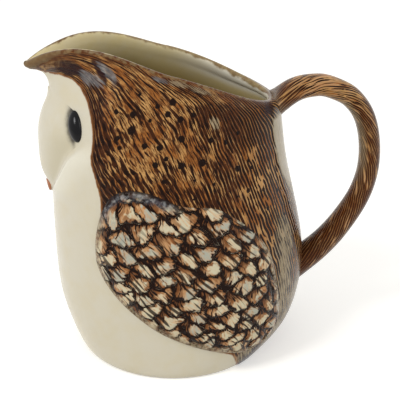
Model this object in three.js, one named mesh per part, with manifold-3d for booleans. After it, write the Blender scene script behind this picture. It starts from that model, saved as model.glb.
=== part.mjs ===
// Owl pitcher: a slip-cast earthenware jug in the form of a perched owl.
// The jug's wall is one lofted shell whose brow runs out into the pouring spout. The facial disc, the
// beak, the eyes and the two folded wings lie on the wall in relief, and a looped handle joins the back.
// Millimetres, +Z up. The owl faces -Y, its left side is +X, and the handle is on +Y.
import * as THREE from "three";
import { mergeVertices } from "three/addons/utils/BufferGeometryUtils.js";
import Module from "manifold-3d";

// Driving sizes of the wall, measured from the middle of the foot.
const footReach = 54;
const footHalfWidth = 58;
const heelFlare = 3;
const heelHeight = 3.5;
const breastReach = 70;
const spoutOverhang = 12.2;
const spoutHeight = 171.5;
const bellyHalfWidth = 62.5;
const mouthHalfWidth = 35.5;
const mouthSideHeight = 170.8;
const mouthSetback = 6.7;
const rumpReach = 77;
const mouthBackReach = 57.5;
const mouthBackHeight = 150;
const browLift = 9.9;
const rearDip = 3.3;
const spoutPinchShare = 0.71;
const spoutPinchPower = 5;
const headFullnessShare = 0.13;
const flankForwardShare = 0.5;

// The clay.
const wallThickness = 4.4;
const rimThickness = 3.6;
const floorThickness = 6;
const footRingWidth = 7;
const footRecess = 1.6;
const floorFillet = 9;
const seatGap = 0.3;

// The folded wings, each a leaf from its shoulder to its tip. Angles are degrees from mid face.
const wingFrontAngle = 47;
const wingRearAngle = 142;
const wingShoulderHeight = 115.5;
const wingTipHeight = 10.5;
const wingRelief = 3.4;
const wingEdgeRelief = 1;
const featherStep = 0.55;
const featherTiers = 8;
const wingEdgeShare = 0.25;
const wingShoulderShare = 0.12;
const wingTipShare = 0.17;

// The facial disc, with its beak and eyes.
const discTopDrop = 12.5;
const discChinHeight = 96;
const discHalfAngle = 45.5;
const discRidgeRelief = 6.4;
const discEdgeRelief = 1.1;
const eyeHalfWidth = 4.9;
const eyeHalfHeight = 8.1;
const eyeDome = 3;
const eyeSlant = 1.2;
const eyeAcrossShare = 0.845;
const eyeUpShare = 0.77;
const beakLength = 7.5;
const beakHalfWidth = 3.2;
const beakRelief = 1.6;
const beakFlatShare = 0.75;

// The handle, on its centre line.
const handleReach = 117;
const handleRise = 4.9;
const handleLowRootHeight = 42;
const handleThickness = 12.4;
const handleWidth = 15;
const handleRootSink = 3;

// How finely the surfaces are divided.
const wallSides = 56;
const wallSteps = 25;
const liningSteps = 17;
const lipSteps = 3;
const filletSteps = 3;
const wingColumns = 13;
const wingRowShares = [0.08, 0.4, 0.72, 1];
const discRows = 15;
const discColumns = 16;
const beakRows = 6;
const beakColumns = 6;
const handleSides = 16;
const handleSteps = 36;
const eyeSides = 18;
const eyeRings = 4;
const halvings = 40;
const probe = 1e-3;

// Guide curves of the wall, one entry for each level from the heel up to the rim. On each side's own
// sizes, an out share runs from the mouth (0) to the belly (1), an up share from the foot to the rim.
const breastOutShares = [null, 0.893, 0.964, 0.991, 1, 1.005, 1.008, 1, 0.99, 0.985, 0.985];
const breastUpShares = [null, 0.1, 0.21, 0.337, 0.465, 0.592, 0.72, 0.847, 0.935, 0.979, 1];
const flankOutShares = [null, 0.985, 1, 0.989, 0.918, 0.786, 0.607, 0.393, 0.214, 0.09, 0];
const flankUpShares = [null, 0.1, 0.212, 0.335, 0.465, 0.594, 0.718, 0.835, 0.918, 0.968, 1];
const rumpOutShares = [null, 0.55, 0.9, 1, 0.89, 0.65, 0.43, 0.31, 0.25, 0.17, 0];
const rumpUpShares = [null, 0.1, 0.225, 0.358, 0.49, 0.636, 0.768, 0.887, 0.955, 0.985, 1];
const spoutShares = [0, 0, 0, 0, 0, 0, 0, 0, 0.03, 0.36, 1];
const crestShares = [0, 0, 0, 0, 0, 0, 0, 0.03, 0.2, 0.58, 1];
const setbackShares = [0, 0, 0, 0, 0, 0.02, 0.08, 0.25, 0.5, 0.78, 1];
const fullnessShares = [0, 0, 0, 0, 0.2, 0.6, 0.95, 1, 0.6, 0.15, 0];
const pinchShares = [0, 0, 0, 0, 0, 0, 0.02, 0.12, 0.4, 0.74, 1];

// A wing's two long edges from shoulder to tip, as (back from the front angle, up from the tip).
const wingFrontEdgeShares = [
  [0.211, 1], [0.105, 0.955], [0.037, 0.833], [0.003, 0.7], [0.001, 0.581], [0.032, 0.486],
  [0.1, 0.386], [0.2, 0.286], [0.321, 0.19], [0.463, 0.114], [0.621, 0.05], [0.8, 0],
];
const wingRearEdgeShares = [
  [0.211, 1], [0.337, 0.97], [0.463, 0.91], [0.6, 0.89], [0.716, 0.819], [0.821, 0.714],
  [0.901, 0.586], [0.932, 0.452], [0.968, 0.3], [1, 0.157], [0.947, 0.048], [0.8, 0],
];

// The disc's half width and its ridge from the top to the chin, at steps that close up towards both ends.
const discWidthShares = [0, 0.42, 0.77, 1, 0.93, 0.7, 0.535, 0.37, 0.2, 0.07, 0];
const discRidgeShares = [0.1, 0.14, 0.26, 0.66, 0.97, 1.03, 0.98, 0.76, 0.3, 0.14, 0.1];

// The handle's centre line from its top root, as (out from the wall, up from the low root), and its girth.
const handlePathShares = [
  [0, 0.926], [0.095, 0.952], [0.23, 0.987], [0.376, 1], [0.505, 0.994], [0.669, 0.96],
  [0.773, 0.924], [0.886, 0.855], [0.967, 0.753], [1, 0.631], [0.98, 0.509], [0.898, 0.394],
  [0.77, 0.297], [0.616, 0.208], [0.434, 0.128], [0.222, 0.058], [0, 0],
];
const handleGirthShares = [1.24, 1.1, 1.03, 1, 1, 1.03, 1.1, 1.2, 1.36];

// How proud the beak stands, from its root to its hooked tip.
const beakProfileShares = [0.5, 0.85, 1, 0.9, 0.6];

const degrees = Math.PI / 180;
const clamp = THREE.MathUtils.clamp;
const smooth = (t) => THREE.MathUtils.smoothstep(t, 0, 1);

// A natural cubic spline through values at 0, 1, 2 and so on.
function spline(values) {
  const last = values.length - 1;
  const bend = new Array(last + 1).fill(0);
  const carry = new Array(last + 1).fill(0);
  for (let i = 1; i < last; i++) {
    const pull = 6 * (values[i + 1] - 2 * values[i] + values[i - 1]);
    const pivot = 4 - carry[i - 1];
    carry[i] = 1 / pivot;
    bend[i] = (pull - bend[i - 1]) / pivot;
  }
  for (let i = last - 1; i > 0; i--) bend[i] -= carry[i] * bend[i + 1];
  return (level) => {
    const i = clamp(Math.floor(level), 0, last - 1);
    const t = level - i;
    const s = 1 - t;
    return (
      s * values[i] + t * values[i + 1] + ((s ** 3 - s) * bend[i] + (t ** 3 - t) * bend[i + 1]) / 6
    );
  };
}

// The guide curve of one side, from the edge of the foot through the heel to the rim.
function guide(outShares, upShares, footOut, mouthReach, bellyReach, rimHeight) {
  const out = outShares.map((share) =>
    share === null ? footOut + heelFlare : mouthReach + (bellyReach - mouthReach) * share,
  );
  const up = upShares.map((share) => (share === null ? heelHeight : rimHeight * share));
  return { out: spline([footOut, ...out]), up: spline([0, ...up]) };
}

const breast = guide(breastOutShares, breastUpShares, footReach, 0, breastReach, spoutHeight);
const flank = guide(
  flankOutShares, flankUpShares, footHalfWidth, mouthHalfWidth, bellyHalfWidth, mouthSideHeight,
);
const rump = guide(rumpOutShares, rumpUpShares, footReach, mouthBackReach, rumpReach, mouthBackHeight);
const spout = spline([0, ...spoutShares]);
const crest = spline([0, ...crestShares]);
const setback = spline([0, ...setbackShares]);
const pinch = spline([0, ...pinchShares]);
const fullness = spline([0, ...fullnessShares]);
const rimLevel = spoutShares.length;

// A hump that is 0 at the front and at the side and reaches 1 between them, nearer the side for low powers.
function hump(forward, sideways, power) {
  const peak = (power / (power + 2)) ** (power / 2) * (2 / (power + 2));
  return (Math.max(forward, 0) ** power * sideways ** 2) / peak;
}

// The point of the wall's outer face at a level, an angle round from the middle of the face.
function wallPoint(angle, level) {
  const forward = Math.cos(angle);
  const sideways = Math.sin(angle);
  const front = breast.out(level) + spoutOverhang * spout(level);
  const back = rump.out(level);
  const middle = (back - front) / 2;
  const narrowing = spoutPinchShare * pinch(level);
  const taper =
    (1 - narrowing * ((1 + forward) / 2) ** spoutPinchPower) / (1 - narrowing / 2 ** spoutPinchPower);
  const filled = 1 + headFullnessShare * fullness(level) * hump(forward, sideways, 2);
  const brow = browLift * hump(forward, sideways, 1.5) - rearDip * hump(-forward, sideways, 1);
  const midHeight = (breast.up(level) + rump.up(level)) / 2;
  const flankSet = mouthSetback * setback(level) - middle * flankForwardShare;
  return new THREE.Vector3(
    flank.out(level) * sideways * taper * filled,
    middle - ((front + back) / 2) * forward + flankSet * sideways ** 2,
    midHeight +
      ((breast.up(level) - rump.up(level)) / 2) * forward +
      (flank.up(level) - midHeight) * sideways ** 2 +
      brow * crest(level),
  );
}

function wallNormal(angle, level) {
  const low = Math.max(level - probe, 0);
  const high = Math.min(level + probe, rimLevel);
  const around = wallPoint(angle + probe, level).sub(wallPoint(angle - probe, level));
  const along = wallPoint(angle, high).sub(wallPoint(angle, low));
  return around.cross(along).normalize();
}

// The wall's outer face moved out along its own normal.
function proud(angle, level, height) {
  return wallPoint(angle, level).addScaledVector(wallNormal(angle, level), height);
}

// The level at which the wall reaches a height, at one angle.
function levelAt(angle, height) {
  let low = 0;
  let high = rimLevel;
  for (let i = 0; i < halvings; i++) {
    const middle = (low + high) / 2;
    if (wallPoint(angle, middle).z < height) low = middle;
    else high = middle;
  }
  return (low + high) / 2;
}

// A closed skin through rings of equally many points, from a first pole to a last one.
function skin(firstPole, rings, lastPole) {
  const count = rings[0].length;
  const points = [firstPole, ...rings.flat(), lastPole];
  const index = [];
  const at = (ring, i) => 1 + ring * count + (i % count);
  for (let i = 0; i < count; i++) {
    index.push(0, at(0, i + 1), at(0, i));
    index.push(points.length - 1, at(rings.length - 1, i), at(rings.length - 1, i + 1));
    for (let ring = 0; ring + 1 < rings.length; ring++) {
      index.push(at(ring, i), at(ring, i + 1), at(ring + 1, i + 1));
      index.push(at(ring, i), at(ring + 1, i + 1), at(ring + 1, i));
    }
  }
  const geometry = new THREE.BufferGeometry().setFromPoints(points);
  geometry.setIndex(index);
  geometry.computeVertexNormals();
  return geometry;
}

const turns = (sides) => Array.from({ length: sides }, (_, i) => (2 * Math.PI * i) / sides);
const wallRing = (point) => turns(wallSides).map(point);

// A point of the foot's oval, drawn in by an inset.
function footPoint(angle, inset, height) {
  return new THREE.Vector3(
    (footHalfWidth - inset) * Math.sin(angle),
    (inset - footReach) * Math.cos(angle),
    height,
  );
}

// The wall's outer skin from the recess of the foot to the rim, moved out by an allowance.
function outerRings(allowance) {
  const rings = [
    wallRing((angle) => footPoint(angle, footRingWidth + footRecess, footRecess)),
    wallRing((angle) => footPoint(angle, footRingWidth, 0)),
  ];
  for (let i = 0; i <= wallSteps; i++) {
    rings.push(wallRing((angle) => proud(angle, (rimLevel * i) / wallSteps, allowance)));
  }
  return rings;
}

// The rounded top of the rim, as half circles from the outer face to the lining.
function lipRings(allowance) {
  const radius = rimThickness / 2;
  const rings = [];
  for (let i = 1; i <= lipSteps; i++) {
    const turn = (Math.PI * i) / (lipSteps + 1);
    rings.push(
      wallRing((angle) => {
        const out = wallNormal(angle, rimLevel);
        const up = wallPoint(angle, rimLevel).sub(wallPoint(angle, rimLevel - probe)).normalize();
        return proud(angle, rimLevel, -radius)
          .addScaledVector(out, (radius + allowance) * Math.cos(turn))
          .addScaledVector(up, (radius + allowance) * Math.sin(turn));
      }),
    );
  }
  return rings;
}

// The lining from the rim down to the floor, with a rounded corner at the floor.
function liningRings() {
  const rings = [];
  for (let i = 0; i <= liningSteps; i++) {
    rings.push(
      wallRing((angle) => {
        const lowest = levelAt(angle, floorThickness + floorFillet);
        const level = rimLevel + ((lowest - rimLevel) * i) / liningSteps;
        const thickening = smooth((rimLevel - level) / 2);
        return proud(angle, level, -rimThickness - (wallThickness - rimThickness) * thickening);
      }),
    );
  }
  const corner = rings[rings.length - 1];
  for (let i = 1; i <= filletSteps; i++) {
    const turn = (Math.PI * i) / (2 * filletSteps);
    rings.push(
      corner.map((edge) => {
        const reach = Math.hypot(edge.x, edge.y);
        const share = 1 - (floorFillet * (1 - Math.cos(turn))) / reach;
        const height = edge.z + (floorThickness - edge.z) * Math.sin(turn);
        return new THREE.Vector3(edge.x * share, edge.y * share, height);
      }),
    );
  }
  return rings;
}

function bodyGeometry() {
  const rings = [...outerRings(0), ...lipRings(0), ...liningRings()];
  return skin(new THREE.Vector3(0, 0, footRecess), rings, new THREE.Vector3(0, 0, floorThickness));
}

// The space that the jug fills with its mouth closed over, grown by the seating gap.
function keepOut() {
  const mouth = new THREE.Vector3(0, mouthSetback, mouthBackHeight);
  const rings = [...outerRings(seatGap), ...lipRings(seatGap)];
  return skin(new THREE.Vector3(0, 0, footRecess), rings, mouth);
}

// A leaf lying on the wall: its place gives (angle, height) from (across, along), each from 0 to 1.
function leafGeometry(rows, columns, place, relief) {
  const at = (across, along, height) => {
    const [angle, z] = place(across, along);
    return proud(angle, levelAt(angle, z), height);
  };
  const loops = rows.map((along) => {
    const top = [];
    const bottom = [];
    for (let i = 0; i <= columns; i++) {
      const across = i / columns;
      top.unshift(at(across, along, seatGap + relief(across, along)));
      bottom.push(at(across, along, seatGap));
    }
    return [...top, ...bottom];
  });
  const end = (along) => at(0.5, along, seatGap + relief(0.5, along) / 2);
  return skin(end(0), loops, end(1));
}

const edgeSpline = (shares, item) => spline(shares.map((pair) => pair[item]));
const wingEdges = [wingFrontEdgeShares, wingRearEdgeShares].map((shares) => [
  edgeSpline(shares, 0),
  edgeSpline(shares, 1),
]);

// Where a wing's leaf lies on the wall.
function wingPlace(across, along) {
  const step = along * (wingFrontEdgeShares.length - 1);
  const [front, rear] = wingEdges.map(([back, up]) => [back(step), up(step)]);
  const backShare = front[0] + (rear[0] - front[0]) * across;
  const upShare = front[1] + (rear[1] - front[1]) * across;
  return [
    (wingFrontAngle + (wingRearAngle - wingFrontAngle) * backShare) * degrees,
    wingTipHeight + (wingShoulderHeight - wingTipHeight) * upShare,
  ];
}

// A wing swells from its edge, and each tier of feathers rises towards its own tips.
function wingRise(across, along) {
  const side = Math.min(across, 1 - across) / wingEdgeShare;
  const end = Math.min(along / wingShoulderShare, (1 - along) / wingTipShare);
  const inFromEdge = smooth(Math.min(side, end));
  const tier = along * featherTiers;
  const rise = featherStep * (tier - Math.ceil(tier) + 1);
  return wingEdgeRelief + (wingRelief - wingEdgeRelief + rise) * inFromEdge;
}

function wingGeometry(side) {
  const rows = [];
  for (let tier = 0; tier < featherTiers; tier++) {
    wingRowShares.forEach((share) => rows.push((tier + share) / featherTiers));
  }
  rows.pop();
  const geometry = leafGeometry(rows, wingColumns, wingPlace, wingRise);
  return side > 0 ? geometry : mirrored(geometry);
}

// The same shape on the other side of the jug.
function mirrored(geometry) {
  const copy = geometry.clone().scale(-1, 1, 1);
  const index = copy.getIndex();
  for (let i = 0; i < index.count; i += 3) {
    const kept = index.getX(i);
    index.setX(i, index.getX(i + 1));
    index.setX(i + 1, kept);
  }
  copy.computeVertexNormals();
  return copy;
}

const discTopHeight = spoutHeight - discTopDrop;
const discWidth = spline(discWidthShares);
const discRidge = spline(discRidgeShares);
const discSteps = discWidthShares.length - 1;

// Where the facial disc lies on the wall.
function discPlace(across, along) {
  const down = (1 - Math.cos(Math.PI * along)) / 2;
  return [
    (2 * across - 1) * discHalfAngle * discWidth(along * discSteps) * degrees,
    discTopHeight + (discChinHeight - discTopHeight) * down,
  ];
}

function discRelief(across, along) {
  const ridge = discRidgeRelief * discRidge(along * discSteps);
  const hill = (1 + Math.cos(Math.PI * (2 * across - 1))) / 2;
  return discEdgeRelief + Math.max(ridge - discEdgeRelief, 0) * hill;
}

// The height of the facial disc over the wall at an angle and a height.
function discHeight(angle, height) {
  const down = clamp((discTopHeight - height) / (discTopHeight - discChinHeight), 0, 1);
  const along = Math.acos(1 - 2 * down) / Math.PI;
  const halfAngle = Math.max(discHalfAngle * discWidth(along * discSteps) * degrees, probe);
  return discRelief(clamp((angle / halfAngle + 1) / 2, 0, 1), along);
}

function discGeometry() {
  const rows = Array.from({ length: discRows }, (_, i) => (i + 1) / (discRows + 1));
  return leafGeometry(rows, discColumns, discPlace, discRelief);
}

// A point over the facial disc, by its angle and height.
function overDisc(angle, height, lift) {
  return proud(angle, levelAt(angle, height), 2 * seatGap + discHeight(angle, height) + lift);
}

// An eye is an oval dome near the disc's edge.
function eyeGeometry(side) {
  const middleAngle = discHalfAngle * eyeAcrossShare * degrees;
  const middleHeight = discChinHeight + (discTopHeight - discChinHeight) * eyeUpShare;
  const level = levelAt(middleAngle, middleHeight);
  const girth = wallPoint(middleAngle + probe, level).distanceTo(wallPoint(middleAngle, level)) / probe;
  const at = (turn, reach, lift) =>
    overDisc(
      middleAngle + ((eyeHalfWidth * Math.sin(turn) - eyeSlant * Math.cos(turn)) * reach) / girth,
      middleHeight + eyeHalfHeight * reach * Math.cos(turn),
      lift,
    );
  const ring = (reach, lift) => turns(eyeSides).map((turn) => at(-turn, reach, lift));
  const rings = [ring(1 / 2, 0), ring(1, 0)];
  for (let i = 1; i < eyeRings; i++) {
    const slope = (Math.PI * i) / (2 * eyeRings);
    rings.push(ring(Math.cos(slope), eyeDome * Math.sin(slope)));
  }
  const geometry = skin(at(0, 0, 0), rings, at(0, 0, eyeDome));
  return side > 0 ? geometry : mirrored(geometry);
}

// The beak is a hooked wedge at the foot of the disc's ridge, narrowing to its tip.
function beakGeometry() {
  const top = discChinHeight + beakLength;
  const level = levelAt(0, top);
  const girth = wallPoint(probe, level).distanceTo(wallPoint(0, level)) / probe;
  const profile = spline(beakProfileShares);
  const swell = (along) => beakRelief * profile(along * (beakProfileShares.length - 1));
  const at = (across, along, lift) =>
    overDisc((beakHalfWidth * (1 - along ** 2) * across) / girth, top - beakLength * along, lift);
  const loops = [];
  for (let row = 1; row <= beakRows; row++) {
    const along = row / (beakRows + 1);
    const upper = [];
    const under = [];
    for (let i = 0; i <= beakColumns; i++) {
      const across = (2 * i) / beakColumns - 1;
      upper.unshift(at(across, along, swell(along) * (1 - beakFlatShare * across ** 2)));
      under.push(at(across, along, 0));
    }
    loops.push([...upper, ...under]);
  }
  return skin(at(0, 0, swell(0) / 2), loops, at(0, 1, swell(1) / 2));
}

// The handle: an oval swept along its loop, before it is cut to the wall.
function handleSweep() {
  const topRise = mouthBackHeight + handleRise - handleLowRootHeight;
  const rootOut = (height) => wallPoint(Math.PI, levelAt(Math.PI, height)).y - handleRootSink;
  const last = handlePathShares.length - 1;
  const topRoot = rootOut(handleLowRootHeight + topRise * handlePathShares[0][1]);
  const lowRoot = rootOut(handleLowRootHeight);
  const path = handlePathShares.map(([outShare, upShare], i) => {
    const root = topRoot + ((lowRoot - topRoot) * i) / last;
    return [root + (handleReach - root) * outShare, handleLowRootHeight + topRise * upShare];
  });
  const out = edgeSpline(path, 0);
  const up = edgeSpline(path, 1);
  const girth = spline(handleGirthShares);
  const centre = (step) => new THREE.Vector3(0, out(step), up(step));
  const rings = [];
  for (let i = 0; i <= handleSteps; i++) {
    const share = i / handleSteps;
    const step = share * last;
    const along = centre(Math.min(step + probe, last)).sub(centre(Math.max(step - probe, 0))).normalize();
    const outward = new THREE.Vector3(0, -along.z, along.y);
    const size = girth(share * (handleGirthShares.length - 1));
    rings.push(
      turns(handleSides).map((turn) => {
        const point = centre(step).addScaledVector(outward, (handleThickness / 2) * size * Math.cos(turn));
        point.x += (handleWidth / 2) * size * Math.sin(turn);
        return point;
      }),
    );
  }
  return skin(centre(0), rings, centre(last));
}

const wasm = await Module();
wasm.setup();

function solidOf(geometry) {
  const bare = geometry.clone();
  bare.deleteAttribute("normal");
  const merged = mergeVertices(bare);
  return new wasm.Manifold(
    new wasm.Mesh({
      numProp: 3,
      vertProperties: merged.getAttribute("position").array,
      triVerts: new Uint32Array(merged.getIndex().array),
    }),
  );
}

function geometryOf(solid) {
  const mesh = solid.getMesh();
  const geometry = new THREE.BufferGeometry();
  geometry.setAttribute("position", new THREE.BufferAttribute(new Float32Array(mesh.vertProperties), 3));
  geometry.setIndex([...mesh.triVerts]);
  geometry.computeVertexNormals();
  return geometry;
}

const handleGeometry = () => geometryOf(solidOf(handleSweep()).subtract(solidOf(keepOut())));

function glaze(colour, roughness) {
  return new THREE.MeshStandardMaterial({ color: colour, roughness, metalness: 0 });
}

function piece(name, geometry, material) {
  const mesh = new THREE.Mesh(geometry, material);
  mesh.name = name;
  return mesh;
}

const jug = new THREE.Group();
jug.name = "owl_pitcher";
jug.add(
  piece("body", bodyGeometry(), glaze(0xc9c0aa, 0.22)),
  piece("handle", handleGeometry(), glaze(0x76502f, 0.26)),
  piece("left_wing", wingGeometry(1), glaze(0x8f6c4a, 0.26)),
  piece("right_wing", wingGeometry(-1), glaze(0x8f6c4a, 0.26)),
  piece("face_disc", discGeometry(), glaze(0xcdc3ad, 0.24)),
  piece("beak", beakGeometry(), glaze(0xb0683f, 0.24)),
  piece("left_eye", eyeGeometry(1), glaze(0x16151a, 0.08)),
  piece("right_eye", eyeGeometry(-1), glaze(0x16151a, 0.08)),
);

// The origin is moved to the middle of the footprint of the whole jug.
const whole = new THREE.Box3().setFromObject(jug);
const middleOut = (whole.min.y + whole.max.y) / 2;
jug.children.forEach((mesh) => mesh.geometry.translate(0, -middleOut, 0));

export default jug;
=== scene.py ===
import math
from functools import cached_property

import bpy
import numpy as np
from bpy.props import FloatProperty, FloatVectorProperty, IntProperty, PointerProperty
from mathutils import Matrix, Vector


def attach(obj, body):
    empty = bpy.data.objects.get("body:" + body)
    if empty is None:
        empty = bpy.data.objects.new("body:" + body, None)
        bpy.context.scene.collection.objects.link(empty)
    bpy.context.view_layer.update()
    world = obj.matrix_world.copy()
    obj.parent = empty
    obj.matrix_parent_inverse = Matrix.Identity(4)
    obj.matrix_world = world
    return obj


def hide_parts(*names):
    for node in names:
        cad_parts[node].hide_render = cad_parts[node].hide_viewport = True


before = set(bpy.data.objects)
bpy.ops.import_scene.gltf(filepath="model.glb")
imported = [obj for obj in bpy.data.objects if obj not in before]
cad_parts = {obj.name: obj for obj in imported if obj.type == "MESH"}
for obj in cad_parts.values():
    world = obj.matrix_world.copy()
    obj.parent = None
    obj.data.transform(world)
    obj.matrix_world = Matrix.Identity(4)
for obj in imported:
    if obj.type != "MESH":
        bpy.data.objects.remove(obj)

bl_info = {
    "name": "Owl pitcher",
    "version": (1, 0, 0),
    "blender": (4, 5, 0),
    "location": "View3D > Sidebar > Owl pitcher",
    "description": "Builds a glazed earthenware owl jug, piece by piece, with its studio",
    "category": "Object",
}

# The wall's sizes in metres, measured from the middle of the foot. The owl faces -Y.
FOOT_REACH = 0.054
FOOT_HALF_WIDTH = 0.058
HEEL_FLARE = 0.003
HEEL_HEIGHT = 0.0035
BREAST_REACH = 0.07
SPOUT_OVERHANG = 0.0122
SPOUT_HEIGHT = 0.1715
BELLY_HALF_WIDTH = 0.0625
MOUTH_HALF_WIDTH = 0.0355
MOUTH_SIDE_HEIGHT = 0.1708
MOUTH_SETBACK = 0.0067
RUMP_REACH = 0.077
MOUTH_BACK_REACH = 0.0575
MOUTH_BACK_HEIGHT = 0.15
BROW_LIFT = 0.0099
REAR_DIP = 0.0033
SPOUT_PINCH_SHARE = 0.71
SPOUT_PINCH_POWER = 5
HEAD_FULLNESS_SHARE = 0.13
FLANK_FORWARD_SHARE = 0.5

# The clay.
WALL_THICKNESS = 0.0044
RIM_THICKNESS = 0.0036
RIM_SHOULDER = 0.0055
FLOOR_THICKNESS = 0.006
FLOOR_FILLET = 0.009
FOOT_RING_WIDTH = 0.007
FOOT_RECESS = 0.0016
SEAT_GAP = 0.0003
BEDDING = 0.0006
HOOD_STEP = 0.002
BEAD_DROP = 0.0012
BEAD_WIDTH = 0.003
BEAD_SPREAD = (0.8, 0.98)

# Metres round the unrolled wall for each radian.
ARC = 0.0655

# Guide curves of the wall, one entry for each level from the heel up to the rim. On each side's own
# sizes, an out share runs from the mouth (0) to the belly (1), an up share from the foot to the rim.
BREAST_OUT_SHARES = [None, 0.893, 0.964, 0.991, 1, 1.005, 1.008, 1, 0.99, 0.985, 0.985]
BREAST_UP_SHARES = [None, 0.1, 0.21, 0.337, 0.465, 0.592, 0.72, 0.847, 0.935, 0.979, 1]
FLANK_OUT_SHARES = [None, 0.985, 1, 0.989, 0.918, 0.786, 0.607, 0.393, 0.214, 0.09, 0]
FLANK_UP_SHARES = [None, 0.1, 0.212, 0.335, 0.465, 0.594, 0.718, 0.835, 0.918, 0.968, 1]
RUMP_OUT_SHARES = [None, 0.55, 0.9, 1, 0.89, 0.65, 0.43, 0.31, 0.25, 0.17, 0]
RUMP_UP_SHARES = [None, 0.1, 0.225, 0.358, 0.49, 0.636, 0.768, 0.887, 0.955, 0.985, 1]
SPOUT_SHARES = [0, 0, 0, 0, 0, 0, 0, 0, 0, 0.03, 0.36, 1]
CREST_SHARES = [0, 0, 0, 0, 0, 0, 0, 0, 0.03, 0.2, 0.58, 1]
SETBACK_SHARES = [0, 0, 0, 0, 0, 0, 0.02, 0.08, 0.25, 0.5, 0.78, 1]
FULLNESS_SHARES = [0, 0, 0, 0, 0, 0.2, 0.6, 0.95, 1, 0.6, 0.15, 0]
PINCH_SHARES = [0, 0, 0, 0, 0, 0, 0, 0.02, 0.12, 0.4, 0.74, 1]

# The wings: where they lie, in degrees from mid face and in metres up.
WING_FRONT_ANGLE = 47
WING_REAR_ANGLE = 142
WING_SHOULDER_HEIGHT = 0.1155
WING_TIP_HEIGHT = 0.0105
WING_RELIEF = 0.0034
WING_EDGE_RELIEF = 0.001
WING_ROLL = 0.002
WING_SWELL = 0.011
WING_BACK = (84, 92)
WING_BAND_END = (0.15, 0.27)
FEATHER_WANDER = 0.00085
FEATHER_SEED = 7
QUILL_SPACING = 0.0027
QUILL_LENGTH = 0.03
WING_FRONT_EDGE_SHARES = [
    (0.211, 1), (0.105, 0.955), (0.037, 0.833), (0.003, 0.7), (0.001, 0.581), (0.032, 0.486),
    (0.1, 0.386), (0.2, 0.286), (0.321, 0.19), (0.463, 0.114), (0.621, 0.05), (0.8, 0),
]
WING_REAR_EDGE_SHARES = [
    (0.211, 1), (0.337, 0.97), (0.463, 0.91), (0.6, 0.89), (0.716, 0.819), (0.821, 0.714),
    (0.901, 0.586), (0.932, 0.452), (0.968, 0.3), (1, 0.157), (0.947, 0.048), (0.8, 0),
]

# The facial disc, from its top to its chin, with the beak and the eyes.
DISC_TOP_HEIGHT = 0.159
DISC_CHIN_HEIGHT = 0.096
DISC_HALF_ANGLE = 45.5
DISC_RIDGE_RELIEF = 0.0064
DISC_EDGE_RELIEF = 0.0001
DISC_WIDTH_SHARES = [0, 0.42, 0.77, 1, 0.93, 0.7, 0.535, 0.37, 0.2, 0.07, 0]
DISC_RIDGE_SHARES = [0.1, 0.14, 0.26, 0.66, 0.97, 1.03, 0.98, 0.76, 0.3, 0.14, 0.1]
DISC_EDGE_SHARES = [0, 0, 0, 0.1, 0.6, 0.9, 1, 1, 1, 0.8, 0.5]
EYE_HALF_WIDTH = 0.0045
EYE_HALF_HEIGHT = 0.0081
EYE_DOME = 0.003
EYE_SLANT = 0.0012
EYE_ACROSS_SHARE = 0.812
EYE_UP_SHARE = 0.77
BEAK_LENGTH = 0.0075
BEAK_HALF_WIDTH = 0.0032
BEAK_RELIEF = 0.0016
BEAK_FLAT_SHARE = 0.75
BEAK_PROFILE_SHARES = [0.5, 0.85, 1, 0.9, 0.6]

# The cheek beside the disc: how far away it is full, where it has faded, and the heights it lies between.
CHEEK_RISE = 0.0034
CHEEK_FADE = (0.021, 0.003)
CHEEK_FOOT = (0.094, 0.106)
CHEEK_TOP = (0.14, 0.126)

# The handle's centre line from its top root, as (out from the wall, up from the low root), and its girth.
HANDLE_REACH = 0.117
HANDLE_RISE = 0.0049
HANDLE_LOW_ROOT_HEIGHT = 0.042
HANDLE_THICKNESS = 0.0124
HANDLE_WIDTH = 0.015
HANDLE_ROOT_SINK = 0.003
HANDLE_FLARE = 1.38
HANDLE_SLANT = 0.35
FUR_SPACING = 0.0021
FUR_LENGTH = 0.03
HANDLE_PATH_SHARES = [
    (0, 0.926), (0.095, 0.952), (0.23, 0.987), (0.376, 1), (0.505, 0.994), (0.669, 0.96),
    (0.773, 0.924), (0.886, 0.855), (0.967, 0.753), (1, 0.631), (0.98, 0.509), (0.898, 0.394),
    (0.77, 0.297), (0.616, 0.208), (0.434, 0.128), (0.222, 0.058), (0, 0),
]
HANDLE_GIRTH_SHARES = [1.24, 1.1, 1.03, 1, 1, 1.03, 1.1, 1.2, 1.36]

# The edge between the white breast and the brown plumage, as (degrees from mid face, metres up).
HOOD_EDGE = [
    (0, 0.1672), (20.2, 0.1684), (26.6, 0.1687), (35.1, 0.1678), (39.8, 0.1644), (43.4, 0.1584),
    (46, 0.151), (47.4, 0.1435), (47.5, 0.1372), (47, 0.1301), (47.5, 0.1248), (49.1, 0.118),
    (51.5, 0.1082), (51, 0.09), (52, 0.07), (58, 0.053), (70, 0.0385), (84, 0.0275), (97, 0.0205),
    (108, 0.0155), (116, 0.0115), (121, 0.006), (126, 0.001), (129, -0.004),
]

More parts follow.
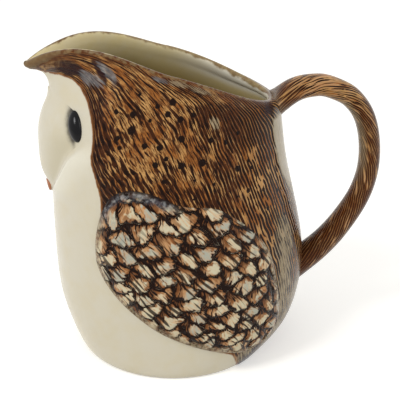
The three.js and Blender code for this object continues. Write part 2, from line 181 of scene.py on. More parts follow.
# Black spots on the plumage, as (degrees from mid face, metres up, radius in metres).
SPOTS = [
    (84, 0.154, 0.0018), (90, 0.151, 0.0019), (68, 0.154, 0.002), (67.5, 0.146, 0.0023),
    (74, 0.138, 0.0018), (81, 0.137, 0.0019), (79, 0.128, 0.0018), (83, 0.119, 0.0016),
    (96, 0.153, 0.0015), (91, 0.141, 0.0019), (84, 0.131, 0.0014), (69, 0.124, 0.0013),
    (105, 0.139, 0.0017), (113, 0.137, 0.0016), (119, 0.122, 0.0018), (126, 0.125, 0.0013),
    (128, 0.121, 0.0013), (124, 0.109, 0.0014), (106, 0.116, 0.0012), (60, 0.155, 0.0015),
    (86, 0.16, 0.002), (79, 0.158, 0.0014), (61, 0.142, 0.0016), (62, 0.137, 0.0014),
    (91, 0.127, 0.0021), (101, 0.128, 0.0021), (120, 0.141, 0.0014), (117, 0.107, 0.001),
    (96, 0.109, 0.0009), (135, 0.096, 0.0014), (134, 0.107, 0.0013), (145, 0.103, 0.0013),
    (97, 0.119, 0.001), (76, 0.151, 0.0011), (71, 0.164, 0.001),
    (156, 0.092, 0.0013), (148, 0.088, 0.0012), (163, 0.078, 0.0013),
]

# Soft stains in the glaze, as (degrees from mid face, metres up, half length, half width, tilt in degrees).
# The first two blue entries, on the spout's side, are a painted reflection on the glaze; the third, under
# the spout's tip, is painted shade; the last is a grey-blue patch under the rim.
BLUE_SHEEN_SHADE_AND_STAINS = [
    (47.3, 0.1694, 0.0066, 0.0034, -12), (57.2, 0.1738, 0.006, 0.0026, -58), (8, 0.172, 0.02, 0.0042, 0),
    (81, 0.1712, 0.0044, 0.0014, -14),
]
PURPLE_STAINS = [
    (36, 0.1738, 0.01, 0.0034, 4), (53.4, 0.1735, 0.0062, 0.0022, -72),
    (131, 0.006, 0.008, 0.006, 0), (146, 0.149, 0.006, 0.003, 0),
    (180, 0.147, 0.012, 0.004, 0),
]
PALE_STAINS = [
    (143, 0.052, 0.034, 0.0065, 90), (145, 0.074, 0.014, 0.009, 90), (168, 0.031, 0.03, 0.014, 0),
    (146, 0.018, 0.015, 0.009, 60), (107, 0.1475, 0.004, 0.0022, -60), (124, 0.008, 0.007, 0.005, 0),
    (90, 0.1688, 0.007, 0.0014, -16), (99, 0.1648, 0.006, 0.0013, -18),
]

# The front edge of the clean pale strip behind the handle, a painted reflection on the glaze, as (metres up,
# degrees from mid face).
STRIP_EDGE = [(0.072, 184), (0.084, 170), (0.096, 161), (0.11, 153), (0.128, 148), (0.15, 146)]

# How a stain fades, from its clear outside to its full middle, as shares of its half sizes.
STAIN_FADE = (1.6, 0.5)

# Warmer and lighter places in the plumage, written as the stains are.
GOLDEN_PLACES = [
    (70, 0.164, 0.034, 0.011, -22), (80, 0.139, 0.02, 0.016, 0), (98, 0.124, 0.012, 0.012, 0),
    (128, 0.1, 0.02, 0.02, 0), (108, 0.136, 0.007, 0.012, 0), (118, 0.1575, 0.026, 0.003, -20),
    (124, 0.128, 0.009, 0.006, 0),
]

# Darker places in the plumage, written in the same way.
GLOOMY_PLACES = [(133, 0.145, 0.024, 0.013, 0)]

# How finely the surfaces are divided.
WALL_COLUMNS = 400
WALL_ROWS = 150
LIP_ROWS = 16
LINING_ROWS = 60
FLOOR_ROWS = 14
WING_COLUMNS = 190
WING_ROWS = 230
DISC_COLUMNS = 150
DISC_ROWS = 130
BACK_COLUMNS = 16
HANDLE_SIDES = 72
HANDLE_STEPS = 260
EYE_SIDES = 64
EYE_RINGS = 18
BEAK_ROWS = 30
BEAK_COLUMNS = 30
COMB_COLUMNS = 121
COMB_ROWS = 111
COMB_ROUNDS = 5
RELAX_STEPS = 900
PROBE = 1e-4

# The studio.
TABLE_REACH = 12
TABLE_GLOW = 0.42
LAMP_AIM_HEIGHT = 0.08


def number(name, description, default, **settings):
    return FloatProperty(name=name, description=description, default=default, **settings)


def length(name, description, default):
    return number(name, description, default, min=0, unit="LENGTH")


def glaze(name, description, *screen):
    """A colour, given as it looks on a screen from 0 to 255, and kept as light."""
    light = [((part / 255 + 0.055) / 1.055) ** 2.4 for part in screen]
    return FloatVectorProperty(
        name=name, description=description, default=(*light, 1), subtype="COLOR", size=4, min=0, max=1
    )


class OwlSizes(bpy.types.PropertyGroup):
    """Sizes of the modelled relief and of the painted strokes."""

    feather_rows: IntProperty(
        name="Feather rows", description="Rows of feathers from a wing's shoulder to its tip", default=13
    )
    feather_width: length("Feather width", "Width of one wing feather", 0.0104)
    feather_relief: length("Feather relief", "How far a feather's tip stands up", 0.0009)
    hood_relief: length("Hood relief", "How far the brown hood stands over the white face", 0.0004)
    stroke_spacing: length("Stroke spacing", "Distance between the combed strokes", 0.0017)
    stroke_length: length("Stroke length", "Length over which a stroke comes and goes", 0.024)
    stroke_depth: length("Stroke depth", "Depth of the incised strokes", 0.0003)
    cheek_relief: length("Cheek relief", "How far the cheek stands over the disc", 0.002)
    bead_relief: length("Bead relief", "How far the rolled edge stands out under the spout", 0.0014)
    handle_fillet: length("Handle fillet", "Length over which a handle root flares", 0.015)


class OwlColours(bpy.types.PropertyGroup):
    """Colours of the glazes."""

    cream: glaze("Cream", "White glaze of face and breast", 213, 206, 187)
    lining: glaze("Lining", "Glaze inside the jug", 208, 191, 140)
    # Painted shade: the lining darkens towards this colour deep inside the jug.
    lining_shade: glaze("Lining depths", "Glaze deep inside the jug", 162, 141, 89)
    lip: glaze("Lip", "Stain on the rim", 126, 104, 72)
    tan: glaze("Tan", "Pale ground of the plumage", 196, 150, 92)
    orange: glaze("Orange", "Warm ground of the plumage", 156, 98, 46)
    umber: glaze("Umber", "Brown shade of the plumage", 92, 50, 23)
    dark: glaze("Dark strokes", "Strokes and grooves", 28, 13, 7)
    blue: glaze("Blue stain", "Grey-blue stains", 136, 135, 134)
    slate: glaze("Slate", "Band on a wing's shoulder", 66, 66, 73)
    purple: glaze("Purple stain", "Dark purple-brown stains", 42, 22, 24)
    feather: glaze("Feather centre", "Pale centre of a wing feather", 208, 198, 168)
    peach: glaze("Feather side", "Pale side of a wing feather", 208, 160, 112)
    russet: glaze("Feather barbs", "Brown barbs of a wing feather", 160, 106, 62)
    # Also the colour of the painted reflection behind the handle and along the handle's inner side.
    fringe: glaze("Fringe", "Soft edge of a wing and pale rear glaze", 166, 149, 118)
    frost: glaze("Frosted centre", "Bluish centre of a wing feather", 160, 164, 154)
    eye: glaze("Eye", "Glossy eye", 12, 11, 13)
    # Painted highlight: a lighter cream laid on the cheek beside the disc and high on the lining's rear
    # wall.
    bright: glaze("Bright cheek", "White glaze where it lies thick", 228, 223, 206)
    halo: glaze("Eye halo", "Soft shade beside an eye", 66, 62, 54)
    # Painted shade on the facial disc below the eyes.
    shade: glaze("Face shade", "Soft shade towards the facial disc's edge", 199, 190, 164)
    beak: glaze("Beak", "Beak", 176, 104, 62)


class OwlStudio(bpy.types.PropertyGroup):
    """The studio around the jug, with the camera where the photograph was taken."""

    azimuth: number("Azimuth", "Camera angle round the jug", math.radians(84), subtype="ANGLE")
    elevation: number("Elevation", "Camera angle over the table", math.radians(22), subtype="ANGLE")
    distance: length("Distance", "From the camera to the middle of the jug", 0.75)
    aim_out: number("Aim out", "The aimed point's place along Y", -0.0044, unit="LENGTH")
    aim_height: length("Aim height", "The aimed point's height", 0.0861)
    lens: number("Lens", "Focal length in millimetres", 113.9)
    key_power: number("Key light", "Power of the main lamp", 9, unit="POWER")
    fill_power: number("Fill light", "Power of the second lamp", 3, unit="POWER")
    world_light: number("Room light", "Strength of the room's light", 0.62)
    floor: glaze("Floor", "Colour of the table", 238, 236, 230)


def sizes():
    return bpy.context.scene.owl_sizes


def colours():
    return bpy.context.scene.owl_colours


def ramp(value, start, end):
    """A soft step from 0 at the start to 1 at the end, which may lie below the start."""
    share = np.clip((value - start) / (end - start), 0, 1)
    return share * share * (3 - 2 * share)


def spline(values):
    """A natural cubic spline through values at 0, 1, 2 and so on."""
    values = np.array(values, float)
    last = len(values) - 1
    bend = np.zeros(last + 1)
    inner = 4 * np.eye(last - 1) + np.eye(last - 1, k=1) + np.eye(last - 1, k=-1)
    bend[1:last] = np.linalg.solve(inner, 6 * np.diff(values, 2))

    def at(step):
        step = np.asarray(step, float)
        i = np.clip(np.floor(step).astype(int), 0, last - 1)
        t = step - i
        s = 1 - t
        curved = ((s**3 - s) * bend[i] + (t**3 - t) * bend[i + 1]) / 6
        return s * values[i] + t * values[i + 1] + curved

    return at


def guide(out_shares, up_shares, foot_out, mouth_reach, belly_reach, rim_height):
    """The guide curve of one side, from the edge of the foot through the heel to the rim."""
    reach = belly_reach - mouth_reach
    out = [foot_out + HEEL_FLARE if share is None else mouth_reach + reach * share for share in out_shares]
    up = [HEEL_HEIGHT if share is None else rim_height * share for share in up_shares]
    return spline([foot_out] + out), spline([0] + up)


BREAST_OUT, BREAST_UP = guide(BREAST_OUT_SHARES, BREAST_UP_SHARES, FOOT_REACH, 0, BREAST_REACH, SPOUT_HEIGHT)
FLANK_OUT, FLANK_UP = guide(
    FLANK_OUT_SHARES, FLANK_UP_SHARES, FOOT_HALF_WIDTH, MOUTH_HALF_WIDTH, BELLY_HALF_WIDTH, MOUTH_SIDE_HEIGHT
)
RUMP_OUT, RUMP_UP = guide(
    RUMP_OUT_SHARES, RUMP_UP_SHARES, FOOT_REACH, MOUTH_BACK_REACH, RUMP_REACH, MOUTH_BACK_HEIGHT
)
SPOUT, CREST, SETBACK, FULLNESS, PINCH = (
    spline(shares) for shares in (SPOUT_SHARES, CREST_SHARES, SETBACK_SHARES, FULLNESS_SHARES, PINCH_SHARES)
)
RIM_LEVEL = len(SPOUT_SHARES) - 1


def foot_middle():
    """The middle of the foot along Y in the frame, from the CAD body's lowest vertices."""
    places = np.array([v.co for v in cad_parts["body"].data.vertices])
    lowest = places[places[:, 2] < BEDDING, 1]
    return (lowest.min() + lowest.max()) / 2


FOOT_MIDDLE = foot_middle()


def hump(forward, sideways, power):
    """A hump that is 0 at the front and at the side and reaches 1 between them."""
    peak = (power / (power + 2)) ** (power / 2) * (2 / (power + 2))
    return np.maximum(forward, 0) ** power * sideways**2 / peak


def wall_point(angle, level):
    """The wall's outer face at a level, an angle in radians round from the middle of the face."""
    angle, level = np.broadcast_arrays(np.asarray(angle, float), np.asarray(level, float))
    forward, sideways = np.cos(angle), np.sin(angle)
    front, back = BREAST_OUT(level) + SPOUT_OVERHANG * SPOUT(level), RUMP_OUT(level)
    middle = (back - front) / 2
    narrowing = SPOUT_PINCH_SHARE * PINCH(level)
    taper = 1 - narrowing * ((1 + forward) / 2) ** SPOUT_PINCH_POWER
    taper = taper / (1 - narrowing / 2**SPOUT_PINCH_POWER)
    filled = 1 + HEAD_FULLNESS_SHARE * FULLNESS(level) * hump(forward, sideways, 2)
    brow = BROW_LIFT * hump(forward, sideways, 1.5) - REAR_DIP * hump(-forward, sideways, 1)
    breast_up, rump_up = BREAST_UP(level), RUMP_UP(level)
    mid_height = (breast_up + rump_up) / 2
    flank_set = MOUTH_SETBACK * SETBACK(level) - middle * FLANK_FORWARD_SHARE
    x = FLANK_OUT(level) * sideways * taper * filled
    y = middle - (front + back) / 2 * forward + flank_set * sideways**2
    z = mid_height + (breast_up - rump_up) / 2 * forward
    z = z + (FLANK_UP(level) - mid_height) * sideways**2 + brow * CREST(level)
    return np.stack([x, y + FOOT_MIDDLE, z], -1)


def unit(vectors):
    return vectors / np.maximum(np.linalg.norm(vectors, axis=-1, keepdims=True), 1e-12)


def wall_around(angle, level):
    """A short step round the wall."""
    return wall_point(angle + PROBE, level) - wall_point(angle - PROBE, level)


def wall_normal(angle, level):
    low, high = np.maximum(level - PROBE, 0), np.minimum(level + PROBE, RIM_LEVEL)
    return unit(np.cross(wall_around(angle, level), wall_point(angle, high) - wall_point(angle, low)))


def proud(angle, level, height):
    """The wall's outer face moved out along its own normal."""
    return wall_point(angle, level) + wall_normal(angle, level) * np.asarray(height)[..., None]


def level_at(angle, height):
    """The level at which the wall reaches a height, at each angle."""
    angle, height = np.broadcast_arrays(np.asarray(angle, float), np.asarray(height, float))
    low, high = np.zeros(angle.shape), np.full(angle.shape, float(RIM_LEVEL))
    for _ in range(28):
        middle = (low + high) / 2
        below = wall_point(angle, middle)[..., 2] < height
        low, high = np.where(below, middle, low), np.where(below, high, middle)
    return (low + high) / 2


def travelled(path):
    """The distance run along a line of points, at each of them."""
    return np.concatenate([[0], np.cumsum(np.linalg.norm(np.diff(path, axis=0), axis=-1))])


def skin(rings, poles):
    """Vertices and faces of a closed skin through rings of equally many points, between two poles."""
    rows, count = rings.shape[:2]
    points = np.concatenate([poles[:1], rings.reshape(-1, 3), poles[1:]])
    here = np.arange(count)
    after = (here + 1) % count
    ring = 1 + count * np.arange(rows - 1)[:, None]
    quads = np.stack([ring + here, ring + after, ring + count + after, ring + count + here], -1)
    last = 1 + count * (rows - 1)
    faces = quads.reshape(-1, 4).tolist()
    faces += [(0, 1 + j, 1 + i) for i, j in zip(here.tolist(), after.tolist())]
    faces += [(len(points) - 1, last + i, last + j) for i, j in zip(here.tolist(), after.tolist())]
    return points, faces


def new_object(name, points, faces, material):
    mesh = bpy.data.meshes.new(name)
    mesh.from_pydata(points, [], faces)
    mesh.shade_smooth()
    mesh.materials.append(material)
    made = bpy.data.objects.new(name, mesh)
    bpy.context.scene.collection.objects.link(made)
    return made


def new_piece(name, node, material, rings, fields, poles=None, side=1):
    """A closed piece with its named vertex fields, riding with the jug in place of its CAD node.

    A side of -1 mirrors it onto the owl's right. Without poles it closes at its end rings' middles.
    """
    points, faces = skin(rings, poles or [rings[0].mean(0), rings[-1].mean(0)])
    if side < 0:
        faces = [face[::-1] for face in faces]
    piece = new_object(name, (points * (side, 1, 1)).tolist(), faces, material)
    for field_name, values in fields.items():
        attribute = piece.data.attributes.new(field_name, "FLOAT_VECTOR", "POINT")
        attribute.data.foreach_set("vector", np.asarray(values, np.float32).ravel())
    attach(piece, "root")
    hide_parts(node)


def field(*parts):
    """Up to three values at each point, with one more row for each pole, copied from the nearest ring."""
    parts = np.broadcast_arrays(*parts, *[0] * (3 - len(parts)))
    flat = np.stack(parts, -1).reshape(-1, 3)
    return np.concatenate([flat[:1], flat, flat[-1:]])


def chart(angle, height):
    """Flat coordinates in metres on the unrolled wall."""
    return np.stack([angle * ARC, height], -1)


def headed(offset, turn):
    """Flat offsets split into their parts along a direction and to its left."""
    x, y = offset[..., 0], offset[..., 1]
    return x * math.cos(turn) + y * math.sin(turn), y * math.cos(turn) - x * math.sin(turn)


def line_distance(places, line):
    """The distance from flat places to a line of points."""
    nearest = np.full(places.shape[:-1], np.inf)
    for start, end in zip(line[:-1], line[1:]):
        along = end - start
        share = np.clip(((places - start) @ along) / (along @ along), 0, 1)
        nearest = np.minimum(nearest, np.linalg.norm(places - start - share[..., None] * along, axis=-1))
    return nearest


def hood_distance(angle, height):
    """The distance to the edge of the brown plumage, above 0 in the brown."""
    edge = np.array(HOOD_EDGE) * (math.radians(1), 1)
    away = line_distance(chart(angle, height), edge * (ARC, 1))
    top = edge[:, 1].argmax()
    falling = edge[top:][::-1]
    white = (height < edge[top, 1]) & (angle < np.interp(height, falling[:, 1], falling[:, 0]))
    return np.where(white, -away, away)


def stain(angle, height, spots):
    """How strongly soft ovals colour each place, from 0 to 1: the stains with the painted reflection and
    shade among them, and the plumage's golden and gloomy places.
    """
    strength = np.zeros(angle.shape)
    for degrees, up, half_width, half_height, tilt in spots:
        offset = chart(angle, height) - chart(math.radians(degrees), up)
        along, aside = headed(offset, math.radians(tilt))
        reach = np.hypot(along / half_width, aside / half_height)
        strength = np.maximum(strength, ramp(reach, *STAIN_FADE))
    return strength


def painted_reflection_strip(angle, height):
    """The smooth pale strip under the handle's top root, a painted reflection, from 0 to 1."""
    edge = np.interp(height, *zip(*STRIP_EDGE))
    return ramp(np.degrees(angle) - edge, -3, 5) * ramp(height, 0.07, 0.115) * ramp(height, 0.147, 0.139)


def gloom(angle, height, hood):
    """How dark the plumage is: 0 in its golden places, 1 beside the face, more in the gloomy places."""
    beside_face = ramp(hood, 0.014, 0.003) * ramp(height, 0.17, 0.16)
    behind = ramp(np.degrees(angle), 88, 110)
    shade = 0.5 + 0.45 * beside_face + 0.3 * behind - 0.6 * stain(angle, height, GOLDEN_PLACES)
    return np.clip(shade, 0, 1) + 0.8 * stain(angle, height, GLOOMY_PLACES)


def spot_reach(angle, height):
    """The distance to the nearest spot's middle, as a share of its radius."""
    nearest = np.full(angle.shape, 9.0)
    for degrees, up, radius in SPOTS:
        offset = chart(angle, height) - chart(math.radians(degrees), up)
        nearest = np.minimum(nearest, np.linalg.norm(offset, axis=-1) / radius)
    return nearest


def comb_slope(angle, depth):
    """How steeply the plumage is combed down towards the back, in radians, at a depth below the rim."""
    degrees = np.degrees(angle)
    settled = np.minimum(47 + 0.3 * (degrees - 50), 69) + 16 * ramp(degrees, 150, 180)
    settled = settled + 35 * ramp(degrees, 55, 47)
    at_rim = 20 * ramp(degrees, 45, 85) * ramp(degrees, 180, 140)
    settling = 0.015 + 0.022 * ramp(degrees, 105, 85)
    return np.radians(at_rim + (settled - at_rim) * ramp(depth, 0, settling))


def relax(steps_around, steps_up):
    """The field whose steps between grid neighbours come closest to the wanted ones."""

    def gather(around, up):
        total = np.zeros((around.shape[0], up.shape[1]))
        total[:, 1:] += around
        total[:, :-1] -= around
        total[1:] += up
        total[:-1] -= up
        return total

    left = gather(steps_around, steps_up)
    field = np.zeros(left.shape)
    heading = left.copy()
    size = (left * left).sum()
    for _ in range(RELAX_STEPS):
        pushed = gather(np.diff(heading, axis=1), np.diff(heading, axis=0))
        stride = size / (heading * pushed).sum()
        field += stride * heading
        left -= stride * pushed
        renewed = (left * left).sum()
        heading = left + renewed / size * heading
        size = renewed
    return field


def combed_fields():
    """Distances across and along the combed strokes, on a grid over half of the wall."""
    angles = np.linspace(0, math.pi, COMB_COLUMNS)
    angle, level = np.meshgrid(angles, np.linspace(0, RIM_LEVEL, COMB_ROWS))
    points = wall_point(angle, level)
    slope = comb_slope(angle, wall_point(angles, RIM_LEVEL)[:, 2] - points[..., 2])[..., None]
    normal, around = wall_normal(angle, level), unit(wall_around(angle, level))
    down = unit(np.cross(around, normal))
    down = down * np.where(down[..., 2:] > 0, -1, 1)
    along = np.cos(slope) * around + np.sin(slope) * down
    fields = []
    for direction, rounds in ((np.cross(normal, along), COMB_ROUNDS), (along, 1)):
        crowding = np.ones(angle.shape)
        for _ in range(rounds):
            wanted = direction * crowding[..., None]
            steps_around = (np.diff(points, axis=1) * (wanted[:, 1:] + wanted[:, :-1]) / 2).sum(-1)
            steps_up = (np.diff(points, axis=0) * (wanted[1:] + wanted[:-1]) / 2).sum(-1)
            field = relax(steps_around, steps_up)
            crowding = np.clip(rise_along(field, points, direction), 0.6, 1.7)
        fields.append(field)
    return np.stack(fields, -1)


def rise_along(field, points, direction):
    """How steeply a field rises in a direction on the surface through a grid of points."""
    (up, around), (rise_up, rise_around) = np.gradient(points, axis=(0, 1)), np.gradient(field)
    wide, mixed, tall = (around * around).sum(-1), (around * up).sum(-1), (up * up).sum(-1)
    sideways, upward = (around * direction).sum(-1), (up * direction).sum(-1)
    share_around = sideways * tall - upward * mixed
    share_up = upward * wide - sideways * mixed
    return (share_around * rise_around + share_up * rise_up) / (wide * tall - mixed * mixed)


def combed(angle, level):
    """The combed distances across and along at any angle and level."""
    grid = combed_fields()
    rows, columns = grid.shape[:2]
    row = np.clip(level / RIM_LEVEL * (rows - 1), 0, rows - 1.001)
    column = np.clip(angle / math.pi * (columns - 1), 0, columns - 1.001)
    i, j = row.astype(int), column.astype(int)
    a, b = (row - i)[..., None], (column - j)[..., None]
    low = (1 - b) * grid[i, j] + b * grid[i, j + 1]
    high = (1 - b) * grid[i + 1, j] + b * grid[i + 1, j + 1]
    return np.moveaxis((1 - a) * low + a * high, -1, 0)


class Signal:
    """An output of a node. Arithmetic on it adds math nodes."""

    def __init__(self, mix, socket):
        self.mix = mix
        self.socket = socket

    def __add__(self, other):
        return self.mix.math("ADD", self, other)

    def __sub__(self, other):
        return self.mix.math("SUBTRACT", self, other)

    def __rsub__(self, other):
        return self.mix.math("SUBTRACT", other, self)

    def __mul__(self, other):
        return self.mix.math("MULTIPLY", self, other)

    def __truediv__(self, other):
        return self.mix.math("DIVIDE", self, other)

    def step(self, start, end, low=0, high=1):
        """A soft step from low to high while the signal runs from start to end."""
        inputs = {0: self, 1: start, 2: end, 3: low, 4: high}
        return self.mix.node("MapRange", inputs, interpolation_type="SMOOTHSTEP")

    def noise(self, size, detail=2, roughness=0.5):
        inputs = {"Vector": self, "Scale": 1 / size, "Detail": detail, "Roughness": roughness}
        return self.mix.node("TexNoise", inputs)

    def chance(self):
        return self.mix.node("TexWhiteNoise", {"W": self}, noise_dimensions="1D")

    def outputs(self, *names):
        """Other outputs of the same node."""
        return [Signal(self.mix, self.socket.node.outputs[name]) for name in names]


class Mixture:
    """The nodes of a material or a world in the making."""

    def __init__(self, owner, shader="Principled BSDF"):
        owner.use_nodes = True
        self.owner = owner
        self.tree = owner.node_tree
        self.shader = self.tree.nodes[shader]

    @cached_property
    def place(self):
        return self.node("TexCoord", {}).outputs("Object")[0]

    @cached_property
    def axes(self):
        return self.parts(self.place)

    def feed(self, socket, value):
        if isinstance(value, Signal):
            self.tree.links.new(value.socket, socket)
        else:
            socket.default_value = value

    def node(self, kind, inputs, output=0, **settings):
        node = self.tree.nodes.new("ShaderNode" + kind)
        for name, value in settings.items():
            setattr(node, name, value)
        for name, value in inputs.items():
            self.feed(node.inputs[name], value)
        return Signal(self, node.outputs[output])

    def math(self, operation, *values):
        return self.node("Math", dict(enumerate(values)), operation=operation)

    def joined(self, x, y, z=0):
        return self.node("CombineXYZ", {0: x, 1: y, 2: z})

    def parts(self, vector):
        return self.node("SeparateXYZ", {0: vector}).outputs(0, 1, 2)

    def field(self, name):
        return self.parts(self.node("Attribute", {}, "Vector", attribute_name=name))

    def coats(self, ground, *coats):
        """Lays coats over a ground colour, each given as its share and its colour."""
        for share, colour in coats:
            ground = self.node("Mix", {0: share, 6: ground, 7: colour}, 2, data_type="RGBA")
        return ground

    def bump(self, height, depth):
        return self.node("Bump", {"Strength": 1, "Distance": depth, "Height": height})

    def shade(self, inputs):
        """Feeds the shader, and gives the material or world that it belongs to."""
        for name, value in inputs.items():
            self.feed(self.shader.inputs[name], value)
        return self.owner


def new_glaze(name):
    """A glaze in the making, and the colours to paint it with."""
    return Mixture(bpy.data.materials.new(name)), colours()


def glazed(mix, colour, height, depth, roughness=None, gloss=0.35):
    """The finished material of a glaze. Where no roughness is given, it varies from place to place."""
    if roughness is None:
        roughness = mix.place.noise(0.009, 3).step(0.3, 0.7, 0.14, 0.24)
    tint = (gloss, gloss, gloss, 1)
    relief = mix.bump(height, depth)
    return mix.shade({"Base Color": colour, "Roughness": roughness, "Normal": relief, "Specular Tint": tint})


def strokes(mix, across, along, spacing, length, cover):
    """Lanes of tapering strokes, each lane broken at random: 1 in a stroke and 0 between."""
    lane = mix.joined(across, along).noise(8 * spacing, 1) * 1.8 + across / spacing
    number = mix.math("FLOOR", lane)
    run = number.chance() * 83 + along / length
    presence = mix.joined(run, number * 0.41).noise(0.5, 1)
    sway = mix.joined(run * 1.9, number).noise(1, 1)
    offset = sway * 0.7 + (lane - number - 0.85)
    reach = (presence + cover).step(0.36, 0.7, -0.05, 0.42)
    return mix.math("ABSOLUTE", offset).step(reach, reach - 0.14)


def plumage(mix, across, along, gloom):
    """The combed brown plumage: its colour and how deep its strokes are. Gloom darkens it."""
    paint, size = colours(), sizes()
    behind = mix.axes[1].step(-0.005, 0.025)
    warm = mix.joined(across * 2, along).noise(0.012, 3)
    hair = mix.joined(across * 9, along).noise(0.005, 3, 0.65)
    ground = mix.coats(
        paint.orange,
        (warm.step(0.4, 0.6), mix.coats(paint.tan, (behind * 0.2, paint.peach))),
        (gloom.step(0.3, 1) * (behind * -0.25 + 0.35), paint.umber),
        (gloom.step(1, 1.5, 0, 0.5), paint.umber),
        (hair.step(0.42, 0.6) * (behind * -0.68 + 0.9), paint.umber),
    )
    flow = mix.joined(across * 4, along)
    uneven = flow.noise(0.005, 3) * 0.9 - 0.45
    cover = gloom * 0.19 + (behind * 0.11 + 0.015) + uneven * behind
    spacing, length = size.stroke_spacing, size.stroke_length
    bold = strokes(mix, across, along, spacing, length, cover)
    thin = strokes(mix, across + 0.4, along, spacing * 0.52, length * 0.5, cover - 0.05)
    depth = mix.math("MAXIMUM", bold, thin * (behind * -0.68 + 0.8))
    heavy = mix.math("MAXIMUM", flow.noise(0.006).step(0.38, 0.58, 0.6, 1), behind * 0.95)
    dark = depth.step(0.4, 0.95) * heavy
    return mix.coats(ground, (depth.step(0.05, 0.6), paint.umber), (dark, paint.dark)), depth


def other_side(mix):
    """A shift for the noises, so that the owl's two sides are not painted alike."""
    return mix.math("GREATER_THAN", mix.axes[0], 0) * 7


def lip_and_lining(mix, lip, outside):
    """Adds the stained rim and the pale lining to the outside, with painted shade deep in the lining and a
    painted highlight high on its rear wall. The lip distance is below 0 inside.
    """
    paint, place = colours(), mix.place
    side, back, _ = mix.axes
    spout, far_side = back.step(-0.076, -0.094), side.step(-0.002, -0.012)
    edge = lip + (place.noise(0.005, 3) * 0.0024 - 0.0012)
    low_edge = spout * -0.0025 + (edge + 0.0014)
    streaked = place.noise(0.0025, 3)
    rim = mix.coats(
        paint.lip,
        (streaked.step(0.38, 0.62), paint.umber),
        (spout * 0.75, paint.lip),
        (back.step(0.03, 0.05, 0, 0.75), paint.fringe),
        (far_side * back.step(-0.08, -0.04, 0, 0.3), paint.lining),
    )
    lining = mix.coats(
        paint.lining,
        (place.noise(0.014, 4, 0.6).step(0.3, 0.7, 0, 0.3), paint.cream),
        # Painted shade deeper down, then a painted highlight high on the rear inner wall.
        (lip.step(-0.011, -0.036), paint.lining_shade),
        (back.step(-0.03, 0.02) * lip.step(-0.022, -0.009, 0, 0.95), paint.bright),
    )
    mottled = mix.coats(paint.tan, (streaked.step(0.3, 0.68), paint.umber))
    inner = spout * -0.001 + (far_side * -0.0011 - 0.0022)
    return mix.coats(
        outside,
        (edge.step(0.0095, 0.0075) * (spout * 0.8), mottled),
        (edge.step(0.0046, 0.0034) * (spout * 0.6 + 0.3), paint.umber),
        (low_edge.step(0.0026, 0.0014, 0, 0.88), rim),
        ((inner - edge).step(-0.0003, 0.0005), lining),
    )


def clouded_cream(mix):
    cloud = mix.place.noise(0.014, 4, 0.6).step(0.35, 0.7, 0, 0.22)
    return mix.coats(colours().cream, (cloud, colours().lining))


def wall_glaze():
    """Cream face and breast, combed brown plumage, stained lip and pale lining."""
    mix, paint = new_glaze("wall_glaze")
    place = mix.place
    across, along, gloom = mix.field("comb")
    hood, lip, spot = mix.field("edge")
    blue_sheen_shade_and_stains, purplish, pale = mix.field("stains_sheen_and_shade")
    hood = hood + (place.noise(0.004, 3) * 0.0014 - 0.0007)
    along = along + other_side(mix)
    brown, incised = plumage(mix, across, along, gloom)
    cloud = place.noise(0.006, 3)
    mottle = mix.joined(across * 7, along).noise(0.008, 3) * 1.4 + (cloud * 0.9 - 0.45 - 0.7)
    lavender = mix.coats(paint.blue, (cloud.step(0.4, 0.6, 0, 0.6), paint.slate))
    pale_wash_and_sheen = mix.coats(paint.fringe, (pale.step(0.9, 1.5, 0, 0.5), paint.cream))
    # The blue coat is a painted reflection on the spout's side and painted shade under the spout's tip,
    # beside one grey-blue patch under the rim; the pale coat also lays the painted reflection strip behind
    # the handle.
    for amount, patchy, strength, hold, colour in (
        (purplish, 1, 0.93, -0.1, paint.purple),
        (blue_sheen_shade_and_stains, 1, 0.85, -0.4, lavender),
        (pale, 1.1, 0.86, -0.55, pale_wash_and_sheen),
    ):
        uneven = mottle * patchy + (incised * hold + amount)
        soaked = uneven.step(0.1, 0.75, 0, strength) * amount.step(0, 0.25)
        brown = mix.coats(brown, (soaked, colour))
    spotted = (place.noise(0.0022) * 0.8 + (spot - 0.4)).step(1.1, 0.8)
    brown = mix.coats(brown, (spotted, paint.dark), (hood.step(0.0022, 0.0006, 0, 0.6), paint.orange))
    # Painted highlight: the cheek beside the disc takes the lighter cream where it swells towards the light.
    white = mix.coats(clouded_cream(mix), (mix.field("cheek")[0], paint.bright))
    colour = lip_and_lining(mix, lip, mix.coats(white, (hood.step(-0.0003, 0.0007), brown)))
    painted = incised * (hood.step(0.0003, 0.0015) * lip.step(0, 0.003))
    return glazed(mix, colour, place.noise(0.008) * 0.25 - painted, sizes().stroke_depth, gloss=0.15)


